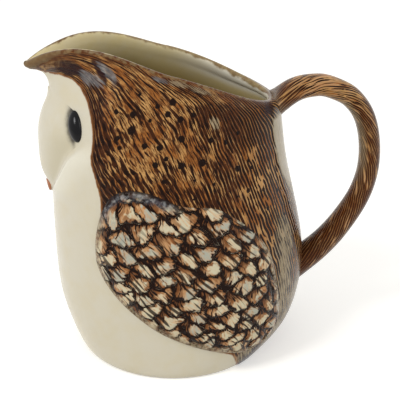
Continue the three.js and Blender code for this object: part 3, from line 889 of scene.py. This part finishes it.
def feather_glaze():
    """Feathers of fine tan barbs with soft pale hearts, parted by ragged dark grooves, with painted shadow
    under the edges of the row above.
    """
    mix, paint = new_glaze("feather_glaze")
    place = mix.place
    aside, back, luck = mix.field("feather")
    edge, border, _ = mix.field("edge")
    upper, lower, murk = mix.field("trim")
    seed = luck * 31 + other_side(mix)
    fan = mix.math("ARCTAN2", aside * 0.55, 1.75 - back)
    barb = mix.joined(fan * 13, back * 1.6, seed).noise(1)
    tuft = mix.joined(fan * 5, back, seed + 3).noise(1)
    cloud = place.noise(0.0024, 3)
    beyond, beside = (back - 0.42) / 0.42, aside / 0.64
    reach = mix.math("SQRT", beside * beside + beyond * beyond)
    torn = (luck + 2).chance() * 0.35 + ((tuft + cloud) * 2 + (reach - 2))
    heart = (torn + (place.noise(0.011) * 1.6 - 0.8)).step(1.3, 0.75)
    ground = mix.coats(
        paint.russet,
        (barb.step(0.37, 0.52), paint.peach),
        (tuft.step(0.5, 0.66, 0, 0.6), paint.umber),
        # Painted shadow: each feather darkens towards its base, under the edge of the row above.
        (back.step(0.8, 1.1, 0, 0.7), paint.umber),
        (murk * 0.22, paint.umber),
    )
    pale = mix.coats(
        paint.feather,
        ((luck.chance() + cloud).step(0.9, 1.3, 0, 0.8), paint.frost),
        (barb.step(0.42, 0.6, 0, 0.55), paint.peach),
    )
    fray = place.noise(0.0018) * 0.0016 - 0.0008
    # Dark ink gathers along each outline and, as painted shadow, just below the edge of the feather above
    # and towards the base.
    need = (edge + fray).step(0, 0.0023, 0.385, 0.585) + heart * 0.05 - 0.02
    need = need + (luck + 5).chance() * 0.08 + back.step(0.75, 1.05, 0, -0.07) - murk * 0.015
    spare = barb - need
    ink = spare.step(0, 0.05)
    x, y, _ = mix.field("sheet")
    quill = strokes(mix, x * 0.77 + y * 0.64, x * 0.64 - y * 0.77, QUILL_SPACING, QUILL_LENGTH, -0.01)
    colour = mix.coats(
        ground,
        (heart, pale),
        (spare.step(-0.05, 0, 0, 0.6), paint.umber),
        (ink, paint.dark),
        (quill * murk * 0.9, paint.dark),
    )
    colour = wing_edge(mix, border, upper, lower, colour)
    return glazed(mix, colour, place.noise(0.004) * 0.3 - ink, sizes().stroke_depth, gloss=0.15)


def wing_edge(mix, border, upper, lower, inner):
    """Adds the slate band on a wing's shoulder and the soft fringe along its lower edges."""
    paint, place = colours(), mix.place
    ragged = place.noise(0.0035, 3) * 0.006 + (border - 0.003)
    slate = mix.coats(
        paint.slate,
        (place.noise(0.0022, 3).step(0.4, 0.62), paint.blue),
        (place.noise(0.0017).step(0.5, 0.64, 0, 0.6), paint.dark),
        (ragged.step(0.003, 0.0014, 0, 0.9), paint.dark),
    )
    fringe = mix.coats(paint.fringe, (place.noise(0.0016, 3).step(0.46, 0.58, 0, 0.8), paint.umber))
    return mix.coats(
        inner,
        (ragged.step(0.0072, 0.0036, 0, 0.92) * upper, slate),
        (ragged.step(0.0056, 0.003, 0, 0.85) * lower, fringe),
        (ragged.step(0.0022, 0.0004, 0, 0.8) * (1 - lower), paint.dark),
        (border.step(0.0009, 0.0002, 0, 0.7), paint.umber),
    )


def face_glaze():
    """Cream glaze with a soft dark halo beside the eyes, and painted shade on the disc below them, near its
    lower edges.
    """
    mix, paint = new_glaze("face_glaze")
    halo, shade, _ = mix.field("halo")
    soot = mix.place.noise(0.003) * 0.5 + (halo - 0.25)
    colour = mix.coats(
        clouded_cream(mix),
        # Painted shade on the disc below the eyes.
        (shade, paint.shade),
        (soot.step(2.2, 1.2, 0, 0.35), paint.halo),
        (soot.step(1.75, 1.05, 0, 0.92), paint.halo),
    )
    return glazed(mix, colour, mix.place.noise(0.006), 0.00008)


def handle_glaze():
    """Fur-like strokes slanting along the handle, dark and light, with painted shade towards the roots,
    painted light over the loop's top and a painted reflection along its inner side.
    """
    mix, paint = new_glaze("handle_glaze")
    across, along, root_shade_top_light = mix.field("comb")
    across = across * 1.1
    brown, incised = plumage(mix, across, along, root_shade_top_light * 0.6 + 1)
    light = strokes(mix, across + 0.9, along, FUR_SPACING, FUR_LENGTH, root_shade_top_light * -0.13 - 0.06)
    fur = mix.coats(
        paint.tan,
        (mix.place.noise(0.01).step(0.4, 0.6), paint.peach),
        (mix.place.noise(0.018).step(0.4, 0.6, 0, 0.3), paint.russet),
    )
    colour = mix.coats(
        brown,
        # Painted shade towards the roots and painted light over the top of the loop.
        (root_shade_top_light.step(-1, 0.2, 0, 0.5), paint.umber),
        (light * 0.85, fur),
        # Painted reflection along the loop's inner side, and grey at the top root.
        (mix.field("pale")[0] * (incised * -0.45 + 0.75), paint.fringe),
    )
    return glazed(mix, colour, light * 0.5 - incised, sizes().stroke_depth, gloss=0.15)


def beak_glaze():
    mix, paint = new_glaze("beak_glaze")
    colour = mix.coats(paint.beak, (mix.place.noise(0.002, 3).step(0.4, 0.65, 0, 0.6), paint.orange))
    return glazed(mix, colour, mix.place.noise(0.0012), 0.0001, 0.18)


def eye_glaze():
    """Black glaze that fades out towards the ridge of the face."""
    mix, paint = new_glaze("eye_glaze")
    cloud = mix.place.noise(0.003) * 0.4 + (mix.field("side")[0] - 0.2)
    colour = mix.coats(paint.eye, (cloud.step(-0.4, -1, 0, 0.7), paint.halo))
    return glazed(mix, colour, mix.place.noise(0.004, 1), 0.00003, 0.16)


DISC_WIDTH, DISC_RIDGE, DISC_EDGE = (
    spline(shares) for shares in (DISC_WIDTH_SHARES, DISC_RIDGE_SHARES, DISC_EDGE_SHARES)
)
DISC_STEPS = len(DISC_WIDTH_SHARES) - 1
DISC_HEIGHT = DISC_TOP_HEIGHT - DISC_CHIN_HEIGHT
EYE_ANGLE = math.radians(DISC_HALF_ANGLE * EYE_ACROSS_SHARE)
EYE_HEIGHT = DISC_CHIN_HEIGHT + DISC_HEIGHT * EYE_UP_SHARE


def disc_place(across, along):
    """Where the facial disc lies on the wall, as (angle, height)."""
    down = (1 - np.cos(math.pi * along)) / 2
    half_angle = np.radians(DISC_HALF_ANGLE) * DISC_WIDTH(along * DISC_STEPS)
    return (2 * across - 1) * half_angle, DISC_TOP_HEIGHT - DISC_HEIGHT * down


def cheek_swell(angle, height):
    """How strongly the cheek swells beside the lower edges of the facial disc, from 0 to 1."""
    outline_angle, outline_height = disc_place(1, np.linspace(0, 1, 60))
    away = line_distance(chart(angle, height), chart(outline_angle, outline_height))
    edge = np.interp(height, outline_height[::-1], outline_angle[::-1])
    beside = ramp(away, 0, CHEEK_RISE) * ramp(away, *CHEEK_FADE) * (angle > edge)
    return beside * ramp(height, *CHEEK_FOOT) * ramp(height, *CHEEK_TOP)


def spout_bead(angle, below_rim):
    """The relief of the rolled edge under the spout's tip."""
    bead = np.exp(-(((below_rim - BEAD_DROP) / BEAD_WIDTH) ** 2))
    return sizes().bead_relief * bead * ramp(np.cos(angle), *BEAD_SPREAD)


def foot_ring(angle, inset, height):
    """The foot's oval, drawn in by an inset."""
    x = (FOOT_HALF_WIDTH - inset) * np.sin(angle)
    y = (inset - FOOT_REACH) * np.cos(angle) + FOOT_MIDDLE
    return np.stack([x, y, np.full(angle.shape, height)], -1)


def wall_levels():
    """Levels of the wall's rows, evenly spaced along its side."""
    fine = np.linspace(0, RIM_LEVEL, 1200)
    run = travelled(wall_point(math.pi / 2, fine))
    return np.interp(np.linspace(0, run[-1], WALL_ROWS), run, fine)


def wall_rings(angle, turned):
    """Rings from the foot's recess over the rim to the floor, with their depths below the rim and levels."""
    rings, lips, levels = [], [], []

    def add(ring, lip, level):
        rings.append(ring)
        lips.append(np.broadcast_to(lip, angle.shape))
        levels.append(np.broadcast_to(level, angle.shape))

    far = SPOUT_HEIGHT
    add(foot_ring(angle, FOOT_RING_WIDTH + FOOT_RECESS, FOOT_RECESS), far, 0)
    add(foot_ring(angle, FOOT_RING_WIDTH, 0), far, 0)
    add(foot_ring(angle, BEDDING, 0), far, 0)
    rim = wall_point(angle, RIM_LEVEL)
    for level in wall_levels()[1:]:
        point = wall_point(angle, level)
        rise = sizes().hood_relief * ramp(hood_distance(turned, point[:, 2]), 0, HOOD_STEP)
        rise = rise + sizes().cheek_relief * cheek_swell(turned, point[:, 2])
        below_rim = np.linalg.norm(rim - point, axis=-1)
        rise = rise * ramp(level, RIM_LEVEL, RIM_LEVEL - 0.5) + spout_bead(angle, below_rim)
        add(proud(angle, level, rise), below_rim, level)
    bead = spout_bead(angle, 0)
    radius = (RIM_THICKNESS + bead) / 2
    out = wall_normal(angle, np.full(angle.shape, float(RIM_LEVEL)))
    below = rim - wall_point(angle, RIM_LEVEL - PROBE)
    up = unit(below)
    centre = proud(angle, RIM_LEVEL, bead - radius)
    start = RIM_LEVEL - (RIM_SHOULDER + SEAT_GAP) * PROBE / np.linalg.norm(below, axis=-1)
    top = centre + radius[:, None] * up
    slide = proud(angle, start, -WALL_THICKNESS) - top
    drawn_in = (slide * out).sum(-1, keepdims=True) * out
    for turn in np.linspace(0, math.pi, LIP_ROWS + 2)[1:-1]:
        outer = centre + radius[:, None] * (out * math.cos(turn) + up * math.sin(turn))
        inner = top - drawn_in * math.cos(turn) + (slide - drawn_in) * (1 - math.sin(turn))
        add(outer if turn < math.pi / 2 else inner, -RIM_THICKNESS / 2 * turn, RIM_LEVEL)
    lowest = level_at(angle, FLOOR_THICKNESS + FLOOR_FILLET)
    for share in np.linspace(0, 1, LINING_ROWS):
        level = start + (lowest - start) * share
        add(proud(angle, level, -WALL_THICKNESS), -2 * RIM_THICKNESS - far * share, level)
    corner = rings[-1]
    middle = np.array([0, FOOT_MIDDLE, 0])
    reach = np.linalg.norm((corner - middle)[:, :2], axis=-1)[:, None]
    for turn in np.linspace(0, math.pi / 2, FLOOR_ROWS)[1:]:
        ring = middle + (corner - middle) * (1 - FLOOR_FILLET * (1 - math.cos(turn)) / reach)
        ring[:, 2] = corner[:, 2] + (FLOOR_THICKNESS - corner[:, 2]) * math.sin(turn)
        add(ring, -far, 0)
    return np.array(rings), np.array(lips), np.array(levels)


class OWL_OT_wall(bpy.types.Operator):
    """Make the jug's wall, with its spout, rim, lining and foot"""

    bl_idname = "owl.wall"
    bl_label = "Wall"

    def execute(self, context):
        angle = np.linspace(0, 2 * math.pi, WALL_COLUMNS, endpoint=False)
        turned = np.minimum(angle, 2 * math.pi - angle)
        rings, lips, levels = wall_rings(angle, turned)
        turned = np.broadcast_to(turned, lips.shape)
        height = wall_point(turned, levels)[..., 2]
        hood = hood_distance(turned, height)
        # The blue list holds painted reflection and painted shade, and the pale field also carries the
        # painted reflection strip behind the handle.
        kinds = (BLUE_SHEEN_SHADE_AND_STAINS, PURPLE_STAINS, PALE_STAINS)
        blue, purple, pale = (stain(turned, height, kind) for kind in kinds)
        fields = {
            # The cheek's swell, which also raises the wall, sets where its painted highlight lies.
            "cheek": field(cheek_swell(turned, height)),
            "comb": field(*combed(turned, levels), gloom(turned, height, hood)),
            "edge": field(hood, lips, spot_reach(turned, height)),
            "stains_sheen_and_shade": field(blue, purple, np.maximum(pale, 1.6 * painted_reflection_strip(turned, height))),
        }
        poles = [(0, FOOT_MIDDLE, FOOT_RECESS), (0, FOOT_MIDDLE, FLOOR_THICKNESS)]
        new_piece("owl_wall", "body", wall_glaze(), rings, fields, poles)
        return {"FINISHED"}


def leaf_grid(rows, columns):
    """Shares across and along a leaf whose rings run over its top and back under it, and what is on top."""
    across = np.concatenate([np.linspace(1, 0, columns + 1), np.linspace(0, 1, BACK_COLUMNS + 1)])
    across, along = np.meshgrid(across, (np.arange(rows) + 0.5) / rows)
    return across, along, np.arange(across.shape[1]) <= columns


WING_EDGES = [
    [spline(part) for part in zip(*shares)] for shares in (WING_FRONT_EDGE_SHARES, WING_REAR_EDGE_SHARES)
]
WING_STEPS = len(WING_FRONT_EDGE_SHARES) - 1


def wing_place(across, along):
    """Where a wing's leaf lies on the wall, as (angle, height)."""
    front, rear = ([part(along * WING_STEPS) for part in edge] for edge in WING_EDGES)
    back, up = (near + (far - near) * across for near, far in zip(front, rear))
    angle = np.radians(WING_FRONT_ANGLE + (WING_REAR_ANGLE - WING_FRONT_ANGLE) * back)
    return angle, WING_TIP_HEIGHT + (WING_SHOULDER_HEIGHT - WING_TIP_HEIGHT) * up


def feather_places():
    """Each feather on the unrolled wall, from the tip up: tip, heading, half width, row gap and chance."""
    size, draw = sizes(), np.random.default_rng(FEATHER_SEED)
    fine = np.linspace(0, 1, 300)
    run = travelled(chart(*wing_place(0.5, fine)))
    rows = size.feather_rows
    reach = run[-1] * ((np.arange(rows + 2) + 0.3) / rows) ** 0.8
    found = []
    for row in range(rows, -1, -1):
        gap = reach[row + 1] - reach[row]
        along = min(np.interp(reach[row], run, fine), 0.985)
        front, rear = chart(*wing_place(np.array([0.0, 1.0]), along))
        row_turn = math.atan2(*(rear - front)[::-1])
        row_length = np.linalg.norm(rear - front)
        count = max(round(row_length / (size.feather_width * (1.25 - 0.35 * row / rows))), 1)
        for column in range(-1, count + 1):
            across = (column + 0.5 + 0.5 * (row % 2) + draw.uniform(-0.18, 0.18)) / count
            luck, stretch = draw.uniform(), draw.uniform(0.95, 1.25)
            if not -0.08 < across < 1.08:
                continue
            near = np.clip(across, 0.03, 0.97)
            before, after = (chart(*wing_place(near, along + nudge)) for nudge in (-0.01, 0.01))
            steeper = 0.3 * math.sin(math.pi * near) * ramp(along, 0.5, 0.25)
            heading = math.atan2(*(after - before)[::-1]) + draw.uniform(-0.2, 0.2) - steeper
            heading = min(heading, row_turn - 0.85)
            half = row_length / count * stretch / 2
            found.append((chart(*wing_place(across, along)), heading, half, gap, luck))
    return found


def wander(places):
    """Shifts places a little to and fro, so that the feathers differ in shape."""
    x, z = places[..., 0], places[..., 1]
    aside = np.sin(z / 0.0026 + x / 0.0052) + 0.6 * np.sin(z / 0.0045 - x / 0.0033 + 2)
    upward = np.sin(x / 0.0029 - z / 0.006 + 1) + 0.6 * np.sin(x / 0.0051 + z / 0.0037)
    return places + FEATHER_WANDER * np.stack([aside, upward], -1)


def paint_feathers(places):
    """Lays the feathers over each other: each place's feather coordinates, outline distance and rise."""
    across, behind, chance, rise = np.zeros((4,) + places.shape[:-1])
    edge = np.full(across.shape, 0.01)
    for tip, heading, half, gap, luck in feather_places():
        ahead, aside = headed(places - tip, heading)
        back = -ahead
        fan = np.arctan2(aside, half * 1.5 - back)
        ragged = 0.05 * np.sin(7 * fan + 40 * luck) + 0.035 * np.sin(13 * fan + 90 * luck)
        reach = np.hypot(aside / half, np.maximum(half - back, 0) / half) + ragged
        outside = (reach - 1) * half
        inside = (outside < 0) & (back < 1.8 * gap)
        # Outside this feather, the distance to its outline marks the painted shadow that it casts on the
        # feathers below.
        edge = np.where(inside, -outside, np.minimum(edge, np.maximum(outside, 0) * 1.2))
        lift = np.clip(1 - back / (1.6 * gap), 0, 1) * ramp(outside, 0, -0.0009)
        dome = np.clip(1 - (aside / half) ** 2, 0, 1) * 0.35 * ramp(outside, 0, -0.0012)
        for kept, new in ((across, aside / half), (behind, back / gap), (chance, luck), (rise, lift + dome)):
            np.copyto(kept, new, where=inside)
    return across, behind, chance, edge, rise


def make_wing(node, side, material):
    across, along, top = leaf_grid(WING_ROWS, WING_COLUMNS)
    angle, height = wing_place(across, along)
    places = chart(angle, height)
    aside, behind, chance, edge, rise = paint_feathers(wander(places))
    step = np.linspace(0, 1, 60)
    border = np.minimum(*(line_distance(places, chart(*wing_place(end, step))) for end in (0, 1)))
    lifted = WING_EDGE_RELIEF * ramp(border, 0, WING_ROLL)
    lifted = lifted + (WING_RELIEF - WING_EDGE_RELIEF) * ramp(border, 0, WING_SWELL)
    lifted = lifted + sizes().feather_relief * rise * ramp(border, 0, 2 * WING_ROLL)
    relief = np.where(top, lifted, -BEDDING) - BEDDING * ramp(border, WING_ROLL / 2, 0)
    rings = proud(angle, level_at(angle, height), relief)
    rearward = ramp(np.degrees(angle), *WING_BACK)
    upper = ramp(along, *WING_BAND_END[::-1]) * (1 - rearward)
    lower = ramp(along, *WING_BAND_END) * (1 - rearward * ramp(along, 0.56, 0.44))
    fields = {
        "feather": field(aside, behind, chance),
        "edge": field(edge, border),
        "sheet": field(places[..., 0], places[..., 1]),
        "trim": field(upper, lower, ramp(along, 0.16, 0.41)),
    }
    new_piece("owl_" + node, node, material, rings, fields, side=side)


class OWL_OT_wings(bpy.types.Operator):
    """Make the two folded wings with their overlapping feathers"""

    bl_idname = "owl.wings"
    bl_label = "Wings"

    def execute(self, context):
        material = feather_glaze()
        make_wing("left_wing", 1, material)
        make_wing("right_wing", -1, material)
        return {"FINISHED"}


def girth_at(angle, height):
    """Metres round the wall for each radian, at one place."""
    level = level_at(angle, height)
    return float(np.linalg.norm(wall_point(angle + PROBE, level) - wall_point(angle, level)) / PROBE)


def disc_relief(across, along):
    """How far the disc stands over the wall: a ridge down the middle and a lip along the lower edges."""
    ridge = DISC_RIDGE_RELIEF * DISC_RIDGE(along * DISC_STEPS)
    hill = (1 + np.cos(math.pi * (2 * across - 1))) / 2
    lip = DISC_EDGE_RELIEF * DISC_EDGE(along * DISC_STEPS)
    return lip * ramp(np.minimum(across, 1 - across), 0, 0.04) + np.maximum(ridge - lip, 0) * hill


def on_disc(angle, height, lift):
    """A point over the facial disc, by its angle and height."""
    down = np.clip((DISC_TOP_HEIGHT - height) / DISC_HEIGHT, 0, 1)
    along = np.arccos(1 - 2 * down) / math.pi
    half_angle = np.maximum(np.radians(DISC_HALF_ANGLE) * DISC_WIDTH(along * DISC_STEPS), PROBE)
    across = np.clip((angle / half_angle + 1) / 2, 0, 1)
    return proud(angle, level_at(angle, height), disc_relief(across, along) + lift)


class OWL_OT_face(bpy.types.Operator):
    """Make the heart-shaped facial disc"""

    bl_idname = "owl.face"
    bl_label = "Face"

    def execute(self, context):
        across, along, top = leaf_grid(DISC_ROWS, DISC_COLUMNS)
        angle, height = disc_place(across, along)
        rim = np.minimum(across, 1 - across)
        raised = disc_relief(across, along) - BEDDING * ramp(rim, 0.02, 0)
        rings = proud(angle, level_at(angle, height), np.where(top, raised, -2 * BEDDING))
        outer = (np.abs(angle) - EYE_ANGLE) * girth_at(EYE_ANGLE, EYE_HEIGHT)
        above = (height - EYE_HEIGHT) / EYE_HALF_HEIGHT
        eye_reach = np.hypot((outer + EYE_SLANT * above) / EYE_HALF_WIDTH, above)
        # Painted shade: a band on the disc below the eyes, full a little inside its edge and fading towards
        # its middle.
        shade = ramp(height, EYE_HEIGHT, EYE_HEIGHT - 0.012) * ramp(rim, 0, 0.08) * ramp(rim, 0.38, 0.08)
        fields = {"halo": field(eye_reach + 1.4 * ramp(outer, -0.0015, 0.0025), shade)}
        new_piece("owl_face", "face_disc", face_glaze(), rings, fields)
        return {"FINISHED"}


class OWL_OT_eyes(bpy.types.Operator):
    """Make the two domed eyes"""

    bl_idname = "owl.eyes"
    bl_label = "Eyes"

    def execute(self, context):
        turn = np.linspace(0, -2 * math.pi, EYE_SIDES, endpoint=False)
        slopes = np.linspace(0, math.pi / 2, EYE_RINGS, endpoint=False)
        reach = np.concatenate([[0.5, 1], np.cos(slopes)])[:, None]
        lift = np.concatenate([[-BEDDING, -BEDDING], EYE_DOME * np.sin(slopes)])[:, None]
        aside = (EYE_HALF_WIDTH * np.sin(turn) - EYE_SLANT * np.cos(turn)) * reach
        angle = EYE_ANGLE + aside / girth_at(EYE_ANGLE, EYE_HEIGHT)
        rings = on_disc(angle, EYE_HEIGHT + EYE_HALF_HEIGHT * reach * np.cos(turn), lift)
        poles = [on_disc(EYE_ANGLE, EYE_HEIGHT, end) for end in (-BEDDING, EYE_DOME)]
        fields, material = {"side": field(reach * np.sin(turn))}, eye_glaze()
        for node, side in (("left_eye", 1), ("right_eye", -1)):
            new_piece("owl_" + node, node, material, rings, fields, poles, side)
        return {"FINISHED"}


class OWL_OT_beak(bpy.types.Operator):
    """Make the small hooked beak"""

    bl_idname = "owl.beak"
    bl_label = "Beak"

    def execute(self, context):
        top = DISC_CHIN_HEIGHT + BEAK_LENGTH
        over = np.linspace(1, -1, BEAK_COLUMNS + 1)
        across = np.concatenate([over, over[::-1]])
        along = ((np.arange(BEAK_ROWS) + 1) / (BEAK_ROWS + 1))[:, None]
        swell = BEAK_RELIEF * spline(BEAK_PROFILE_SHARES)(along * (len(BEAK_PROFILE_SHARES) - 1))
        domed = swell * (1 - BEAK_FLAT_SHARE * across**2)
        lift = np.where(np.arange(len(across)) <= BEAK_COLUMNS, domed, -BEDDING)
        angle = BEAK_HALF_WIDTH * (1 - along**2) * across / girth_at(0, top)
        rings = on_disc(angle, top - BEAK_LENGTH * along, lift)
        new_piece("owl_beak", "beak", beak_glaze(), rings, {})
        return {"FINISHED"}


def handle_line():
    """The handle's centre line, out along Y and up, from its top root to its low root."""
    top_rise = MOUTH_BACK_HEIGHT + HANDLE_RISE - HANDLE_LOW_ROOT_HEIGHT
    last = len(HANDLE_PATH_SHARES) - 1
    out_shares, up_shares = np.array(HANDLE_PATH_SHARES).T
    up = HANDLE_LOW_ROOT_HEIGHT + top_rise * up_shares
    top_root, low_root = wall_point(math.pi, level_at(math.pi, up[[0, -1]]))[:, 1] - HANDLE_ROOT_SINK
    root = top_root + (low_root - top_root) * np.arange(last + 1) / last
    out = root + (HANDLE_REACH + FOOT_MIDDLE - root) * out_shares
    return spline(out), spline(up), last


def flare(rings, run):
    """Draws the rings near a root onto the wall, so that the root spreads like worked clay."""
    fillet = sizes().handle_fillet
    middle = rings[0].mean(0)
    spread = (rings[0] - middle) * HANDLE_FLARE
    angle = math.pi - spread[:, 0] / girth_at(math.pi, min(middle[2], MOUTH_BACK_HEIGHT))
    height = np.minimum(middle[2] + spread[:, 2], wall_point(angle, RIM_LEVEL)[:, 2] - BEDDING)
    seat = proud(angle, level_at(angle, height), np.full(angle.shape, -2 * BEDDING))
    near = run < fillet
    share = ramp(run[near], fillet, 0)[:, None, None] ** 1.5
    rings[near] = rings[near] * (1 - share) + seat * share


class OWL_OT_handle(bpy.types.Operator):
    """Make the looped handle, flared where it meets the wall"""

    bl_idname = "owl.handle"
    bl_label = "Handle"

    def execute(self, context):
        out, up, last = handle_line()
        turn = np.linspace(0, 2 * math.pi, HANDLE_SIDES, endpoint=False)
        steps = np.linspace(0, last, HANDLE_STEPS)
        centre = np.stack([np.zeros(steps.shape), out(steps), up(steps)], -1)
        along = unit(np.gradient(centre, axis=0))
        outward = np.stack([np.zeros(steps.shape), -along[:, 2], along[:, 1]], -1)
        size = spline(HANDLE_GIRTH_SHARES)(steps / last * (len(HANDLE_GIRTH_SHARES) - 1))[:, None] / 2
        rings = centre[:, None] + outward[:, None] * (HANDLE_THICKNESS * size * np.cos(turn))[..., None]
        rings[..., 0] += HANDLE_WIDTH * size * np.sin(turn)
        run = travelled(centre)
        flare(rings, run)
        flare(rings[::-1], (run[-1] - run)[::-1])
        around = np.abs(turn - math.pi) * HANDLE_WIDTH / 2
        run = run[:, None]
        # Painted shade: 1 at the roots; painted light: below 0 over the top of the loop.
        root_shade_top_light = ramp(np.minimum(run, run[-1] - run), 0.02, 0)
        root_shade_top_light = root_shade_top_light - 1.6 * np.exp(-(((run - 0.034) / 0.02) ** 2))
        # Painted reflection along the inner side of the loop's upper part.
        inner = ramp(-np.cos(turn), 0.3, 0.75) * ramp(run, 0.03, 0.05) * ramp(run, 0.115, 0.085)
        fields = {
            "comb": field(around - HANDLE_SLANT * run, run + HANDLE_SLANT * around, root_shade_top_light),
            "pale": field(np.maximum(inner, 0.9 * ramp(run, 0.009, 0.003))),
        }
        new_piece("owl_handle", "handle", handle_glaze(), rings, fields)
        return {"FINISHED"}


def seen_rays(mix):
    """1 for the rays of the camera and of reflections, 0 for those that light the jug."""
    rays = mix.node("LightPath", {}).outputs("Is Glossy Ray", "Is Transmission Ray", "Is Camera Ray")
    return mix.math("MAXIMUM", rays[2], mix.math("MAXIMUM", rays[0], rays[1]))


def table_material(colour):
    """A matt table that the camera and the reflections see a little brighter, with its shadows kept."""
    mix = Mixture(bpy.data.materials.new("table_paper"))
    return mix.shade({
        "Base Color": colour,
        "Normal": mix.bump(mix.place.noise(0.004), 0.00002),
        "Roughness": 0.9,
        "Specular IOR Level": 0.1,
        "Emission Color": (1, 1, 1, 1),
        "Emission Strength": seen_rays(mix) * TABLE_GLOW,
    })


def area_light(name, place, size, power):
    lamp = bpy.data.lights.new(name, "AREA")
    lamp.shape = "DISK"
    lamp.size = size
    lamp.energy = power
    lit = bpy.data.objects.new(name, lamp)
    lit.location = place
    aim = Vector((0, 0, LAMP_AIM_HEIGHT)) - lit.location
    lit.rotation_euler = aim.to_track_quat("-Z", "Y").to_euler()
    bpy.context.scene.collection.objects.link(lit)


def studio_world(strength):
    """White to the camera and in reflections, and a plain room light on the jug."""
    mix = Mixture(bpy.data.worlds.new("studio"), "Background")
    return mix.shade({"Color": (1, 1, 1, 1), "Strength": seen_rays(mix) * (1 - strength) + strength})


class OWL_OT_studio(bpy.types.Operator):
    """Make the table, the lights and the camera"""

    bl_idname = "owl.studio"
    bl_label = "Studio"

    def execute(self, context):
        scene, studio = context.scene, context.scene.owl_studio
        table = [(TABLE_REACH * x, TABLE_REACH * y, 0) for x, y in ((-1, -1), (1, -1), (1, 1), (-1, 1))]
        new_object("table", table, [(0, 1, 2, 3)], table_material(studio.floor))
        area_light("key_light", (0.7, -0.9, 1.2), 0.5, studio.key_power)
        area_light("fill_light", (0.6, 0.9, 0.9), 0.9, studio.fill_power)
        scene.world = studio_world(studio.world_light)
        level = math.cos(studio.elevation)
        x, y = level * math.sin(studio.azimuth), -level * math.cos(studio.azimuth)
        away = Vector((x, y, math.sin(studio.elevation)))
        lens = bpy.data.cameras.new("photo_camera")
        lens.lens = studio.lens
        lens.sensor_width = 36
        camera = bpy.data.objects.new("photo_camera", lens)
        camera.location = Vector((0, studio.aim_out, studio.aim_height)) + away * studio.distance
        camera.rotation_euler = (-away).to_track_quat("-Z", "Y").to_euler()
        scene.collection.objects.link(camera)
        scene.camera = camera
        scene.view_settings.view_transform = "Standard"
        return {"FINISHED"}


STEPS = (OWL_OT_studio, OWL_OT_wall, OWL_OT_wings, OWL_OT_face, OWL_OT_eyes, OWL_OT_beak, OWL_OT_handle)
GROUPS = {"owl_sizes": OwlSizes, "owl_colours": OwlColours, "owl_studio": OwlStudio}


class OWL_PT_panel(bpy.types.Panel):
    """Lists the steps, sizes and colours of the owl pitcher"""

    bl_idname = "OWL_PT_panel"
    bl_label = "Owl pitcher"
    bl_space_type = "VIEW_3D"
    bl_region_type = "UI"
    bl_category = "Owl pitcher"

    def draw(self, context):
        for step in STEPS:
            self.layout.operator(step.bl_idname)
        for name, kind in GROUPS.items():
            box = self.layout.box()
            for part in kind.__annotations__:
                box.prop(getattr(context.scene, name), part)


CLASSES = (*GROUPS.values(), *STEPS, OWL_PT_panel)


def register():
    for kind in CLASSES:
        bpy.utils.register_class(kind)
    for name, kind in GROUPS.items():
        setattr(bpy.types.Scene, name, PointerProperty(type=kind))


def unregister():
    for name in GROUPS:
        delattr(bpy.types.Scene, name)
    for kind in reversed(CLASSES):
        bpy.utils.unregister_class(kind)


def main():
    register()
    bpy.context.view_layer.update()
    for step in STEPS:
        group, name = step.bl_idname.split(".")
        getattr(getattr(bpy.ops, group), name)()


if __name__ == "__main__":
    main()
